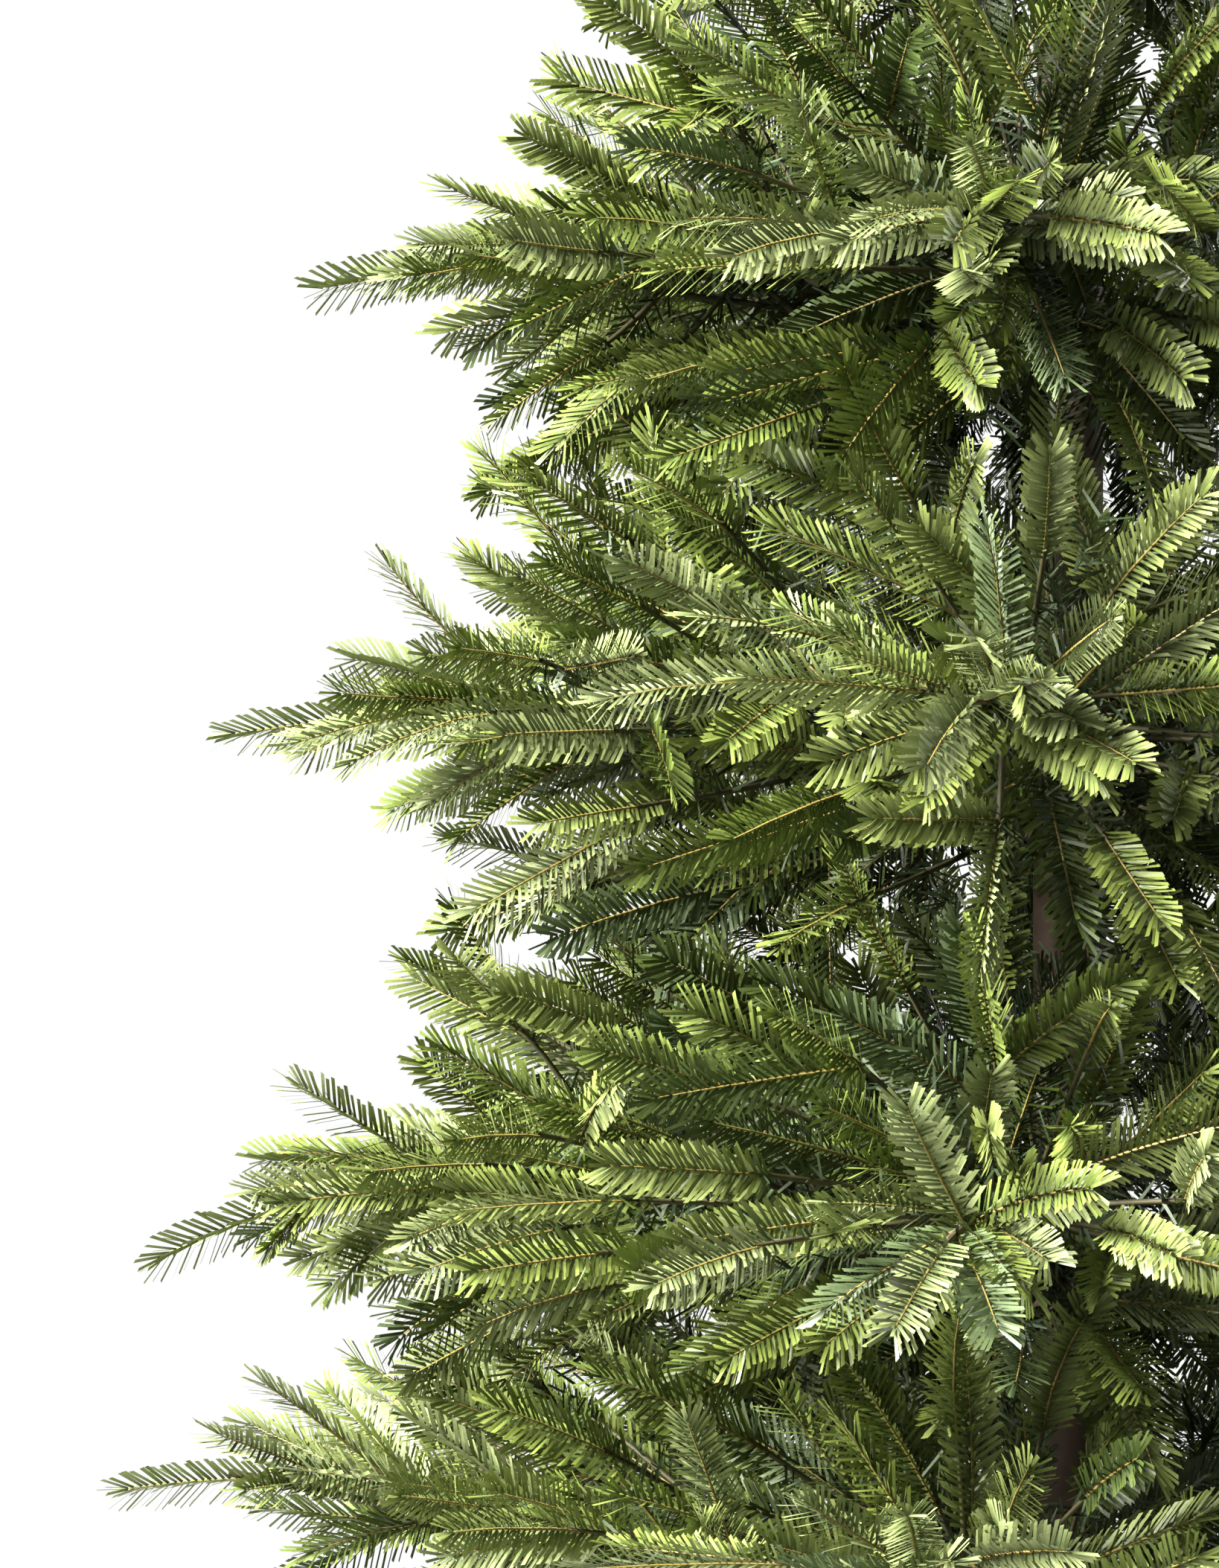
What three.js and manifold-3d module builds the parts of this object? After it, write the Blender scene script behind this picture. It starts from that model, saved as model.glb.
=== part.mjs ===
// An artificial Christmas tree with its stand: a steel pole in two sections that plug together, rows of
// wire boughs that stand on collars round it, moulded needle sprays on every bough, and a four-legged stand.
// Millimetres, +Z up, the floor at z = 0 and the pole on the Z axis. Directions are degrees from +X towards +Y.
import * as THREE from "three";
import { mergeVertices } from "three/addons/utils/BufferGeometryUtils.js";
import Module from "manifold-3d";

// The crown
const TREE_HEIGHT = 2100; // floor to the leader's tip
const CROWN_FOOT = 250; // height where the crown is widest
const CROWN_REACH = 430; // pole axis to the furthest tips there
const CROWN_SWELL = 1.45; // 1 is a straight cone, more is a fuller one
const LOWEST_FOLIAGE = 150; // nothing green hangs lower than this

// The rows of boughs, from the lowest: how many, the direction of the first one, and how far a tip stands
// above its root as a share of the bough's reach
const FIRST_TIER = 275;
const TIER_SPACING = 203;
const TIERS = [
  { boughs: 5, turn: 186, lift: 0.3 },
  { boughs: 5, turn: 190, lift: 0.07 },
  { boughs: 5, turn: 192, lift: 0.1 },
  { boughs: 5, turn: 188, lift: 0.09 },
  { boughs: 4, turn: 202, lift: 0.2 },
  { boughs: 4, turn: 168, lift: 0.3 },
];
const BARE_TIERS = 4; // on these rows a length of bare bough shows between the collar and the foliage
const BARE_REACH = 90; // pole axis to where a bare bough goes into its foliage
const BOUGH_BOW = 0.16; // how much a bough arches, as a share of its reach
const BOUGH_SWAY = 0.05; // how far a tip may stray sideways, as a share of its reach
const TURN_SPREAD = 8; // how far a bough may stray from its even place on the collar, in degrees
const REACH_SPREAD = 0.05; // how much shorter than the crown's outline a bough may be
const SEED = 351; // for all the small differences

// The wire of the boughs, and the needle sprays on them
const BOUGH_ROOT_RADIUS = 5;
const BOUGH_TIP_RADIUS = 2.6;
const SPRAY_WIDTH = 0.78; // over the teeth, as a share of its length
const SPRAY_CORE = 0.042; // half the core's width at its widest, as a share of its length
const SPRAY_THICK = 0.034; // the core's thickness there, as a share of its length
const SPRAY_ROOT = 0.3; // how much narrower and thinner the core is at its root
const SHORTEST_SPRAY = 55;
const SHARE_OF_SPACE = 0.93; // a spray that leaves its space is tried again this much shorter
const SPRAY_BEND = 0.09; // and each time leans this much further along its stem
const SPRAY_TRIES = 11;
const SPACE_GAP = 3; // between the spaces of two masses

// The pole
const POLE_RADII = [16, 14.5];
const POLE_FOOT = 20;
const POLE_JOINTS = [780]; // where the sections meet
const POLE_TOP = 1470;
const SPIGOT_LENGTH = 60;
const POLE_WALL = 1.6;
const COLLAR_RADIUS = 21;
const COLLAR_HEIGHT = 22;
const BRACKET_REACH = 28; // pole axis to the flat end of the bracket that holds a bough
const BRACKET_WIDTH = 13;
const BRACKET_HEIGHT = 16;
const POLE_SIDES = 12;

// The stand
const SOCKET_WALL = 3;
const SOCKET_FLOOR = 6;
const SOCKET_TOP = 165;
const LEG_COUNT = 4;
const LEG_RADIUS = 8;
const LEG_TOP = 112; // height of a leg's axis where it leaves the socket
const LEG_REACH = 285; // pole axis to the middle of a foot
const FOOT_RADIUS = 13;
const FOOT_HEIGHT = 24;
const BRACE_HEIGHT = 30;
const BRACE_RADIUS = 4;
const SCREW_COUNT = 3;
const SCREW_RADIUS = 4;
const SCREW_HEIGHT = 145;
const NUT_RADIUS = 8;
const NUT_LENGTH = 8;
const WING_SPAN = 34;
const WING_THICK = 5;

const CLEARANCE = 0.3; // between pieces that touch

const wasm = await Module();
wasm.setup();

const radians = THREE.MathUtils.degToRad;

// A number from 0 to 1 that is always the same for the same seed.
function chance(seed) {
  let mixed = (Math.imul(seed, 0x9e3779b1) + 0x7f4a7c15) | 0;
  mixed = Math.imul(mixed ^ (mixed >>> 16), 0x85ebca6b);
  mixed = Math.imul(mixed ^ (mixed >>> 13), 0xc2b2ae35);
  return ((mixed ^ (mixed >>> 16)) >>> 0) / 4294967296;
}

// From -1 to 1 in the same way.
const stray = (seed) => 2 * chance(seed) - 1;

// Solids

// A closed geometry as a solid that can be joined and cut.
function solidOf(geometry) {
  const bare = geometry.index ? geometry.toNonIndexed() : geometry.clone();
  bare.deleteAttribute("normal");
  bare.deleteAttribute("uv");
  const merged = mergeVertices(bare, 1e-3);
  return new wasm.Manifold(
    new wasm.Mesh({
      numProp: 3,
      vertProperties: new Float32Array(merged.attributes.position.array),
      triVerts: new Uint32Array(merged.index.array),
    }),
  );
}

// A solid as a geometry with flat faces.
function geometryOf(solid) {
  const made = solid.getMesh();
  const geometry = new THREE.BufferGeometry();
  geometry.setAttribute("position", new THREE.BufferAttribute(made.vertProperties, 3));
  geometry.setIndex(new THREE.BufferAttribute(made.triVerts, 1));
  return geometry;
}

const joined = (geometries) => geometryOf(wasm.Manifold.union(geometries.map(solidOf)));

// Rings of points, each with as many corners, skinned into one closed tube.
function skin(rings) {
  const sides = rings[0].length;
  const corner = (ring, side) => ring * sides + (side % sides);
  const faces = [];
  for (let ring = 0; ring + 1 < rings.length; ring++) {
    for (let side = 0; side < sides; side++) {
      faces.push(corner(ring, side), corner(ring, side + 1), corner(ring + 1, side + 1));
      faces.push(corner(ring, side), corner(ring + 1, side + 1), corner(ring + 1, side));
    }
  }
  const last = rings.length - 1;
  for (let side = 1; side + 1 < sides; side++) {
    faces.push(corner(0, 0), corner(0, side + 1), corner(0, side));
    faces.push(corner(last, 0), corner(last, side), corner(last, side + 1));
  }
  const geometry = new THREE.BufferGeometry().setFromPoints(rings.flat());
  geometry.setIndex(faces);
  return geometry;
}

// A limb along a curve, as thick at each end as given.
function limb(curve, rootRadius, tipRadius, sides, steps) {
  const frames = curve.computeFrenetFrames(steps, false);
  const rings = [];
  for (let step = 0; step <= steps; step++) {
    const centre = curve.getPointAt(step / steps);
    const radius = THREE.MathUtils.lerp(rootRadius, tipRadius, step / steps);
    const ring = [];
    for (let side = 0; side < sides; side++) {
      const angle = (2 * Math.PI * side) / sides;
      const corner = centre.clone();
      corner.addScaledVector(frames.normals[step], radius * Math.cos(angle));
      corner.addScaledVector(frames.binormals[step], radius * Math.sin(angle));
      ring.push(corner);
    }
    rings.push(ring);
  }
  return skin(rings);
}

// A round solid about the Z axis from a half outline of [radius, height] pairs, from the axis back to the axis.
function turned(outline, sides) {
  const points = outline.map(([radius, height]) => new THREE.Vector2(radius, height));
  return new THREE.LatheGeometry(points, sides).rotateX(Math.PI / 2);
}

// A round bar along a direction from the Z axis, between two distances from it.
function spoke(direction, height, from, to, radius, sides) {
  const bar = new THREE.CylinderGeometry(radius, radius, to - from, sides);
  bar.rotateZ(Math.PI / 2).translate((from + to) / 2, 0, height);
  return bar.rotateZ(radians(direction));
}

// Crown shape

// How far the crown reaches from the pole at a height.
function crownReach(height) {
  const share = THREE.MathUtils.clamp((height - CROWN_FOOT) / (TREE_HEIGHT - CROWN_FOOT), 0, 1);
  return CROWN_REACH * (1 - share ** CROWN_SWELL);
}

const tierHeight = (tier) => FIRST_TIER + TIER_SPACING * tier;

// The reach of a row's boughs, read at the height of their tips.
function tierReach(tier) {
  const { lift } = TIERS[tier];
  return crownReach(tierHeight(tier) + lift * crownReach(tierHeight(tier)));
}

// A point at a distance from the pole axis, a height, and a distance to the left of the direction.
function placed(direction, distance, height, aside = 0) {
  const angle = radians(direction);
  return new THREE.Vector3(
    distance * Math.cos(angle) - aside * Math.sin(angle),
    distance * Math.sin(angle) + aside * Math.cos(angle),
    height,
  );
}

// One bough of a row: its direction, its reach and the arched line that it follows.
function boughOf(tier, index) {
  const { boughs, turn, lift } = TIERS[tier];
  const seed = SEED + 100 * (tier + 1) + 10 * index;
  const leading = index < 2; // the first two of a row stand exactly at their even places
  const direction = turn + (360 / boughs) * index + (leading ? 0 : TURN_SPREAD * stray(seed));
  const reach = tierReach(tier) * (1 - REACH_SPREAD * (leading ? 0.3 : chance(seed + 1)));
  const height = tierHeight(tier);
  const slope = Math.atan(lift + 2 * BOUGH_BOW);
  const start = BRACKET_REACH + CLEARANCE + BOUGH_ROOT_RADIUS * Math.sin(slope);
  const root = placed(direction, start, height);
  const bend = placed(direction, (start + reach) / 2, height + (lift / 2 + BOUGH_BOW) * reach);
  const tip = placed(direction, reach, height + lift * reach, BOUGH_SWAY * reach * stray(seed + 2));
  const line = new THREE.QuadraticBezierCurve3(root, bend, tip);
  return { tier, index, seed, direction, reach, line, name: `row_${tier + 1}_${index + 1}` };
}

// Where along a line, from 0 to 1, it is this far from the pole axis.
function shareAt(line, distance) {
  let low = 0;
  let high = 1;
  for (let halving = 0; halving < 30; halving++) {
    const middle = (low + high) / 2;
    const point = line.getPoint(middle);
    if (Math.hypot(point.x, point.y) < distance) low = middle;
    else high = middle;
  }
  return low;
}

// The stretch of a line between two shares of it, as a curve of its own.
function stretch(line, from, to) {
  const start = line.getPoint(from);
  const end = line.getPoint(to);
  const bend = start.clone().addScaledVector(line.getTangent(from), start.distanceTo(end) / 2);
  return new THREE.QuadraticBezierCurve3(start, bend, end);
}

// Spaces of the masses

// The height of a row's boughs at a distance from the pole. The row above the last is the leader's lowest.
const LEADER_ROW = { boughs: 1, turn: 0, lift: 0.55 };
function rowHeight(tier, distance) {
  const row = TIERS[tier] ?? LEADER_ROW;
  const reach = TIERS[tier] ? tierReach(tier) : crownReach(tierHeight(tier));
  const share = distance / reach;
  return tierHeight(tier) + reach * (row.lift * share + 2 * BOUGH_BOW * share * (1 - share));
}

// Whether a point is in a bough's own space: its slice of the row, halfway to the rows above and below.
function inSpaceOf(bough, point) {
  const distance = Math.hypot(point.x, point.y);
  if (distance < BRACKET_REACH + SPACE_GAP || point.z < LOWEST_FOLIAGE) return false;
  if (distance > bough.reach + SPACE_GAP) return false;
  const { boughs, turn } = TIERS[bough.tier];
  const middle = turn + (360 / boughs) * bough.index;
  const off = THREE.MathUtils.euclideanModulo(
    THREE.MathUtils.radToDeg(Math.atan2(point.y, point.x)) - middle + 180, 360) - 180;
  const side = distance * Math.sin(radians(180 / boughs - Math.abs(off)));
  if (Math.abs(off) > 180 / boughs || side < SPACE_GAP) return false;
  const here = rowHeight(bough.tier, distance);
  const ceiling = (here + rowHeight(bough.tier + 1, distance)) / 2;
  const floor = bough.tier > 0 ? (here + rowHeight(bough.tier - 1, distance)) / 2 : LOWEST_FOLIAGE;
  return point.z < ceiling - SPACE_GAP && point.z > floor + SPACE_GAP;
}

// Whether a point is in the leader's space: above the last row, and inside the crown.
function inLeaderSpace(point) {
  const distance = Math.hypot(point.x, point.y);
  const floor = (rowHeight(TIERS.length - 1, distance) + rowHeight(TIERS.length, distance)) / 2;
  return point.z > floor + SPACE_GAP && point.z <= TREE_HEIGHT && point.z > POLE_TOP;
}

// Sprays

// A needle spray: a slim three-sided core along +X from the origin, flat below, with flat teeth on both edges.
function spray(length, teeth) {
  const half = (SPRAY_WIDTH * length) / 2;
  const corners = [];
  const faces = [];
  const add = (x, y, z) => corners.push(new THREE.Vector3(x, y, z)) - 1;
  const ring = (share) => {
    const size = length * (share > 0 ? 1 - 0.5 * share : SPRAY_ROOT);
    const x = share * length;
    return [add(x, SPRAY_CORE * size, 0), add(x, 0, SPRAY_THICK * size), add(x, -SPRAY_CORE * size, 0)];
  };
  let near = ring(0);
  faces.push(near[0], near[2], near[1]);
  for (let tooth = 0; tooth < teeth; tooth++) {
    const far = ring((0.84 * (tooth + 1)) / teeth);
    const span = half * (1 - (0.45 * tooth) / teeth) * (tooth === 0 ? 0.9 : 1);
    const reach = corners[far[0]].x + 0.05 * length;
    const left = add(reach, span, 0);
    const right = add(reach, -span, 0);
    faces.push(near[1], left, near[0], near[1], far[1], left, far[1], far[0], left, near[0], left, far[0]);
    faces.push(near[1], near[2], right, near[1], right, far[1], far[1], right, far[2], near[2], far[2], right);
    faces.push(near[0], far[0], far[2], near[0], far[2], near[2]);
    near = far;
  }
  const tip = add(length, 0, 0);
  faces.push(near[0], near[1], tip, near[1], near[2], tip, near[2], near[0], tip);
  const geometry = new THREE.BufferGeometry().setFromPoints(corners);
  geometry.setIndex(faces);
  return geometry;
}

// A spray that grows from a point on a stem, its flat side towards face, as long as its space allows, or null.
function fittedSpray(root, heading, stemWay, face, length, teeth, inSpace) {
  for (let attempt = 0; attempt < SPRAY_TRIES; attempt++) {
    const along = heading.clone().normalize().addScaledVector(stemWay, SPRAY_BEND * attempt).normalize();
    const across = new THREE.Vector3().crossVectors(face, along).normalize();
    const over = new THREE.Vector3().crossVectors(along, across);
    const frame = new THREE.Matrix4().makeBasis(along, across, over).setPosition(root);
    const tried = length * SHARE_OF_SPACE ** attempt;
    if (tried < SHORTEST_SPRAY) return null;
    const made = spray(tried, teeth).applyMatrix4(frame);
    const place = made.getAttribute("position");
    const point = new THREE.Vector3();
    let fits = true;
    for (let i = 0; i < place.count && fits; i++) fits = inSpace(point.fromBufferAttribute(place, i));
    if (fits) return made;
  }
  return null;
}

// Masses of foliage

// The foliage of one bough: a stem that carries on from the bough, sprays that follow each other round it by
// an even turn, and one at its tip.
const SPRAY_COUNT = 8;
const SPRAY_TURN = 137.5;
const FIRST_SPRAY = 0.02; // where they begin and end along the foliage
const LAST_SPRAY = 0.66;
const ROOT_LEAN = 76; // degrees between the first spray and the stem
const END_LEAN = 52; // and between the last one and the stem
const SPRAY_REACH = 0.54; // a spray's length, as a share of the foliage beyond its root
const SPRAY_EXTRA = 85;
const TIP_SPRAY = 0.4; // the spray that ends a stem, as a share of the foliage
function foliageOf(bough) {
  const start = bough.tier < BARE_TIERS ? shareAt(bough.line, BARE_REACH + CLEARANCE) : 0;
  const foliage = stretch(bough.line, start, 1);
  const long = foliage.getLength();
  const rootRadius = THREE.MathUtils.lerp(BOUGH_ROOT_RADIUS, BOUGH_TIP_RADIUS, start);
  const stemEnd = 1 - 0.7 * TIP_SPRAY;
  const pieces = [limb(stretch(foliage, 0, stemEnd), rootRadius, BOUGH_TIP_RADIUS, 4, 2)];
  const inSpace = (point) => inSpaceOf(bough, point);
  const up = new THREE.Vector3(0, 0, 1);
  for (let number = 0; number < SPRAY_COUNT; number++) {
    const share = number / (SPRAY_COUNT - 1);
    const at = THREE.MathUtils.lerp(FIRST_SPRAY, LAST_SPRAY, share);
    const along = foliage.getTangentAt(at);
    const left = new THREE.Vector3().crossVectors(up, along).normalize();
    const over = new THREE.Vector3().crossVectors(along, left);
    const angle = radians(SPRAY_TURN * number + 90 * (bough.index % 2) + 10 * stray(bough.seed + 3 + number));
    const out = left.clone().multiplyScalar(Math.cos(angle)).addScaledVector(over, Math.sin(angle));
    const lean = radians(THREE.MathUtils.lerp(ROOT_LEAN, END_LEAN, share));
    const heading = along.clone().multiplyScalar(Math.cos(lean)).addScaledVector(out, Math.sin(lean));
    const face = new THREE.Vector3().crossVectors(along, out);
    face.addScaledVector(along, 0.5 * stray(bough.seed + 31 + number));
    const length = SPRAY_REACH * long * (1 - at) + SPRAY_EXTRA;
    pieces.push(fittedSpray(foliage.getPointAt(at), heading, along, face, length, 2, inSpace));
  }
  const end = foliage.getPointAt(stemEnd - 0.06);
  const towards = bough.line.getPoint(1).sub(end);
  const face = new THREE.Vector3(0.2 * stray(bough.seed + 71), 0.2 * stray(bough.seed + 72), 1);
  pieces.push(fittedSpray(end, towards, towards, face, towards.length(), 3, inSpace));
  return joined(pieces.filter(Boolean));
}

// The bare length of a bough, from its collar to where it goes into its foliage.
function bareBough(bough) {
  const end = shareAt(bough.line, BARE_REACH);
  const endRadius = THREE.MathUtils.lerp(BOUGH_ROOT_RADIUS, BOUGH_TIP_RADIUS, end);
  return limb(stretch(bough.line, 0, end), BOUGH_ROOT_RADIUS, endRadius, 6, 2);
}

// The leader: an upright stem that carries on from the pole, with whorls of sprays up to the tree's tip.
const LEADER_WHORLS = [5, 5, 4, 4, 3, 3]; // sprays in each, from the lowest
const LEADER_ROOT_RADIUS = 8;
const LEADER_TIP_SPRAY = 130;
function leaderFoliage() {
  const foot = POLE_TOP + CLEARANCE;
  const stem = new THREE.LineCurve3(
    new THREE.Vector3(0, 0, foot),
    new THREE.Vector3(0, 0, TREE_HEIGHT - 0.7 * LEADER_TIP_SPRAY),
  );
  const upright = new THREE.Vector3(0, 0, 1);
  const pieces = [limb(stem, LEADER_ROOT_RADIUS, BOUGH_TIP_RADIUS, 4, 2)];
  LEADER_WHORLS.forEach((count, whorl) => {
    const share = whorl / (LEADER_WHORLS.length - 1);
    const height = THREE.MathUtils.lerp(foot + 25, TREE_HEIGHT - 190, share);
    const rise = radians(THREE.MathUtils.lerp(14, 52, share));
    for (let index = 0; index < count; index++) {
      const seed = 900 + 10 * whorl + index;
      const direction = 50 * whorl + (360 / count) * index + 8 * stray(seed);
      const root = new THREE.Vector3(0, 0, height + 18 * index);
      const heading = placed(direction, Math.cos(rise), Math.sin(rise));
      const onEdge = (whorl + index) % 2;
      const face = placed(direction, -Math.sin(rise), Math.cos(rise), onEdge ? 2 : 0.3);
      const length = (crownReach(height + 80) + 8) / Math.cos(rise);
      pieces.push(fittedSpray(root, heading, upright, face, length, whorl < 2 ? 3 : 2, inLeaderSpace));
    }
  });
  const tipRoot = new THREE.Vector3(0, 0, TREE_HEIGHT - LEADER_TIP_SPRAY);
  const face = new THREE.Vector3(0, 1, 0);
  pieces.push(fittedSpray(tipRoot, upright, upright, face, LEADER_TIP_SPRAY, 3, inLeaderSpace));
  return joined(pieces.filter(Boolean));
}

// Pole

// One section of the pole: a collar for each row of boughs on it with a bracket for each bough, a spigot at its
// foot that plugs into the section below, and a bore at its top for the next one.
function poleSection(section) {
  const radius = POLE_RADII[section];
  const foot = section === 0 ? POLE_FOOT : POLE_JOINTS[section - 1] + CLEARANCE;
  const top = POLE_JOINTS[section] ?? POLE_TOP;
  const outline = [];
  const brackets = [];
  if (section > 0) {
    const spigot = POLE_RADII[section - 1] - POLE_WALL - CLEARANCE;
    outline.push([0, foot - SPIGOT_LENGTH], [spigot, foot - SPIGOT_LENGTH], [spigot, foot], [radius, foot]);
  } else {
    outline.push([0, foot], [radius, foot]);
  }
  TIERS.forEach(({ boughs }, tier) => {
    const middle = tierHeight(tier);
    if (middle < foot || middle > top) return;
    const low = middle - COLLAR_HEIGHT / 2;
    const high = middle + COLLAR_HEIGHT / 2;
    outline.push([radius, low], [COLLAR_RADIUS, low], [COLLAR_RADIUS, high], [radius, high]);
    for (let index = 0; index < boughs; index++) {
      const bracket = new THREE.BoxGeometry(BRACKET_REACH / 2, BRACKET_WIDTH, BRACKET_HEIGHT);
      bracket.translate(0.75 * BRACKET_REACH, 0, middle).rotateZ(radians(boughOf(tier, index).direction));
      brackets.push(bracket);
    }
  });
  outline.push([radius, top]);
  if (section < POLE_RADII.length - 1) {
    const bore = radius - POLE_WALL;
    const bottom = top - SPIGOT_LENGTH - CLEARANCE;
    outline.push([bore, top], [bore, bottom], [0, bottom]);
  } else {
    outline.push([0, top]);
  }
  return joined([turned(outline, POLE_SIDES), ...brackets]);
}

// Stand

const SOCKET_BORE = POLE_RADII[0] + CLEARANCE;
const SOCKET_RADIUS = SOCKET_BORE + SOCKET_WALL;
const screwDirections = Array.from({ length: SCREW_COUNT }, (_, i) => 90 + (360 / SCREW_COUNT) * i);
const legDirections = Array.from({ length: LEG_COUNT }, (_, i) => 45 + (360 / LEG_COUNT) * i);

// The socket that takes the pole: a tube with a closed foot, and a nut welded on for each thumb screw.
function socket() {
  const floor = POLE_FOOT - CLEARANCE;
  const foot = floor - SOCKET_FLOOR;
  const cup = turned([
    [0, foot], [SOCKET_RADIUS, foot], [SOCKET_RADIUS, SOCKET_TOP], [SOCKET_BORE, SOCKET_TOP],
    [SOCKET_BORE, floor], [0, floor],
  ], POLE_SIDES);
  const nut = (direction) =>
    spoke(direction, SCREW_HEIGHT, SOCKET_RADIUS - 1.5, SOCKET_RADIUS + NUT_LENGTH, NUT_RADIUS, 6);
  const hole = (direction) =>
    spoke(direction, SCREW_HEIGHT, SOCKET_BORE - 2, SOCKET_RADIUS + 2 * NUT_LENGTH, SCREW_RADIUS + CLEARANCE, 8);
  const whole = wasm.Manifold.union([solidOf(cup), ...screwDirections.map((d) => solidOf(nut(d)))]);
  const holes = wasm.Manifold.union(screwDirections.map((d) => solidOf(hole(d))));
  return geometryOf(whole.subtract(holes));
}

// A thumb screw: a threaded shank through the nut and the socket's wall, up to the pole, and a flat wing.
function thumbScrew(direction) {
  const from = SOCKET_BORE + CLEARANCE;
  const shankEnd = SOCKET_RADIUS + NUT_LENGTH + 18;
  const shank = spoke(direction, SCREW_HEIGHT, from, shankEnd, SCREW_RADIUS, 8);
  const outline = new THREE.Shape().absellipse(0, 0, WING_SPAN / 4, WING_SPAN / 2, 0, 2 * Math.PI);
  const wing = new THREE.ExtrudeGeometry(outline, { depth: WING_THICK, bevelEnabled: false, curveSegments: 6 });
  wing.rotateX(Math.PI / 2).translate(shankEnd, WING_THICK / 2, SCREW_HEIGHT).rotateZ(radians(direction));
  return joined([shank, wing]);
}

// A leg: a tube bent down from the socket to the floor, a strut back to the socket's foot, and a rubber foot.
function leg(direction) {
  const meet = SOCKET_RADIUS + CLEARANCE;
  const out = (distance, height) => placed(direction, distance, height);
  const tube = new THREE.CatmullRomCurve3([
    out(meet, LEG_TOP), out(meet + 28, LEG_TOP - 2), out(0.3 * LEG_REACH, LEG_TOP - 26),
    out(0.75 * LEG_REACH, FOOT_HEIGHT + 16), out(LEG_REACH, FOOT_HEIGHT - 6),
  ]);
  const strut = new THREE.LineCurve3(out(meet, BRACE_HEIGHT), out(0.66 * LEG_REACH, FOOT_HEIGHT + 26));
  const foot = new THREE.CylinderGeometry(FOOT_RADIUS, FOOT_RADIUS + 1, FOOT_HEIGHT, 12);
  foot.rotateX(Math.PI / 2).translate(LEG_REACH, 0, FOOT_HEIGHT / 2).rotateZ(radians(direction));
  return joined([
    limb(tube, LEG_RADIUS, LEG_RADIUS, 6, 7),
    limb(strut, BRACE_RADIUS, BRACE_RADIUS, 4, 1),
    foot,
  ]);
}

// Materials
const material = (color, roughness, metalness) => new THREE.MeshStandardMaterial({ color, roughness, metalness });
const brownPaint = material(0x6b4f41, 0.55, 0.3);
const greenPaint = material(0x1f3526, 0.45, 0.3);
const wrappedWire = material(0x3b3a24, 0.8, 0.0);
const needles = material(0x6c8436, 0.55, 0.0);
const zincSteel = material(0x9a9a96, 0.35, 0.9);

// Assembly
const tree = new THREE.Group();

function add(name, geometry, finish) {
  const piece = new THREE.Mesh(geometry, finish);
  piece.name = name;
  tree.add(piece);
}

add("stand_socket", socket(), greenPaint);
legDirections.forEach((direction, index) => add(`stand_leg_${index + 1}`, leg(direction), greenPaint));
screwDirections.forEach((direction, index) => add(`stand_screw_${index + 1}`, thumbScrew(direction), zincSteel));
["lower", "upper"].forEach((place, section) => add(`pole_${place}`, poleSection(section), brownPaint));

TIERS.forEach(({ boughs }, tier) => {
  for (let index = 0; index < boughs; index++) {
    const bough = boughOf(tier, index);
    if (tier < BARE_TIERS) add(`bough_${bough.name}`, bareBough(bough), wrappedWire);
    add(`foliage_${bough.name}`, foliageOf(bough), needles);
  }
});
add("foliage_leader", leaderFoliage(), needles);

export default tree;
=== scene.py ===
import math

import bpy
import numpy as np
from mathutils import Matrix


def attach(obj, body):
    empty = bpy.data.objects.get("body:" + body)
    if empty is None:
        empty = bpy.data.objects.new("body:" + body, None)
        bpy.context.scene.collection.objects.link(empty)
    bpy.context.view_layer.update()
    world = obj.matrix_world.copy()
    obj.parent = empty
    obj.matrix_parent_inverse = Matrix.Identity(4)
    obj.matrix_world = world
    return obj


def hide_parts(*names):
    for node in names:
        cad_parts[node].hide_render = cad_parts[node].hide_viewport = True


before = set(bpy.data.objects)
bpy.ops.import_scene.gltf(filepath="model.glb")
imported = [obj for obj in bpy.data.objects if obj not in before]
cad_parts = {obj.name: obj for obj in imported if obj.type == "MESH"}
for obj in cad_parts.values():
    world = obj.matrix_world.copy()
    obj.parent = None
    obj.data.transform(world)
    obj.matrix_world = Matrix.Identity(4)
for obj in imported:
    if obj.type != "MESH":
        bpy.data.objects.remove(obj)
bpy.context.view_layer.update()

# Stand socket
# The steel cup that the pole stands in: a short welded tube with a closed foot, rolled at the rim, with a
# nut welded on for each thumb screw. Dipped in dark green paint, which is rubbed through in small chips.

FIT_GAP = 0.0003
POLE_RADIUS = 0.016
POLE_FOOT = 0.020
SOCKET_BORE = POLE_RADIUS + FIT_GAP
SOCKET_RADIUS = SOCKET_BORE + 0.003
SOCKET_FOOT = 0.0137
SOCKET_TOP = 0.165
CLOSED = 0.001  # the radius at which a turned piece is closed in the middle
SCREW_DIRECTIONS = [90, 210, 330]
SCREW_HEIGHT = 0.145
NUT_RADIUS = 0.008
NUT_FACE = 0.0068
NUT_HOLE = 0.0046
NUT_END = SOCKET_RADIUS + 0.008
BEAD_RADIUS = 0.0078
BEAD_THICKNESS = 0.0013


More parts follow.
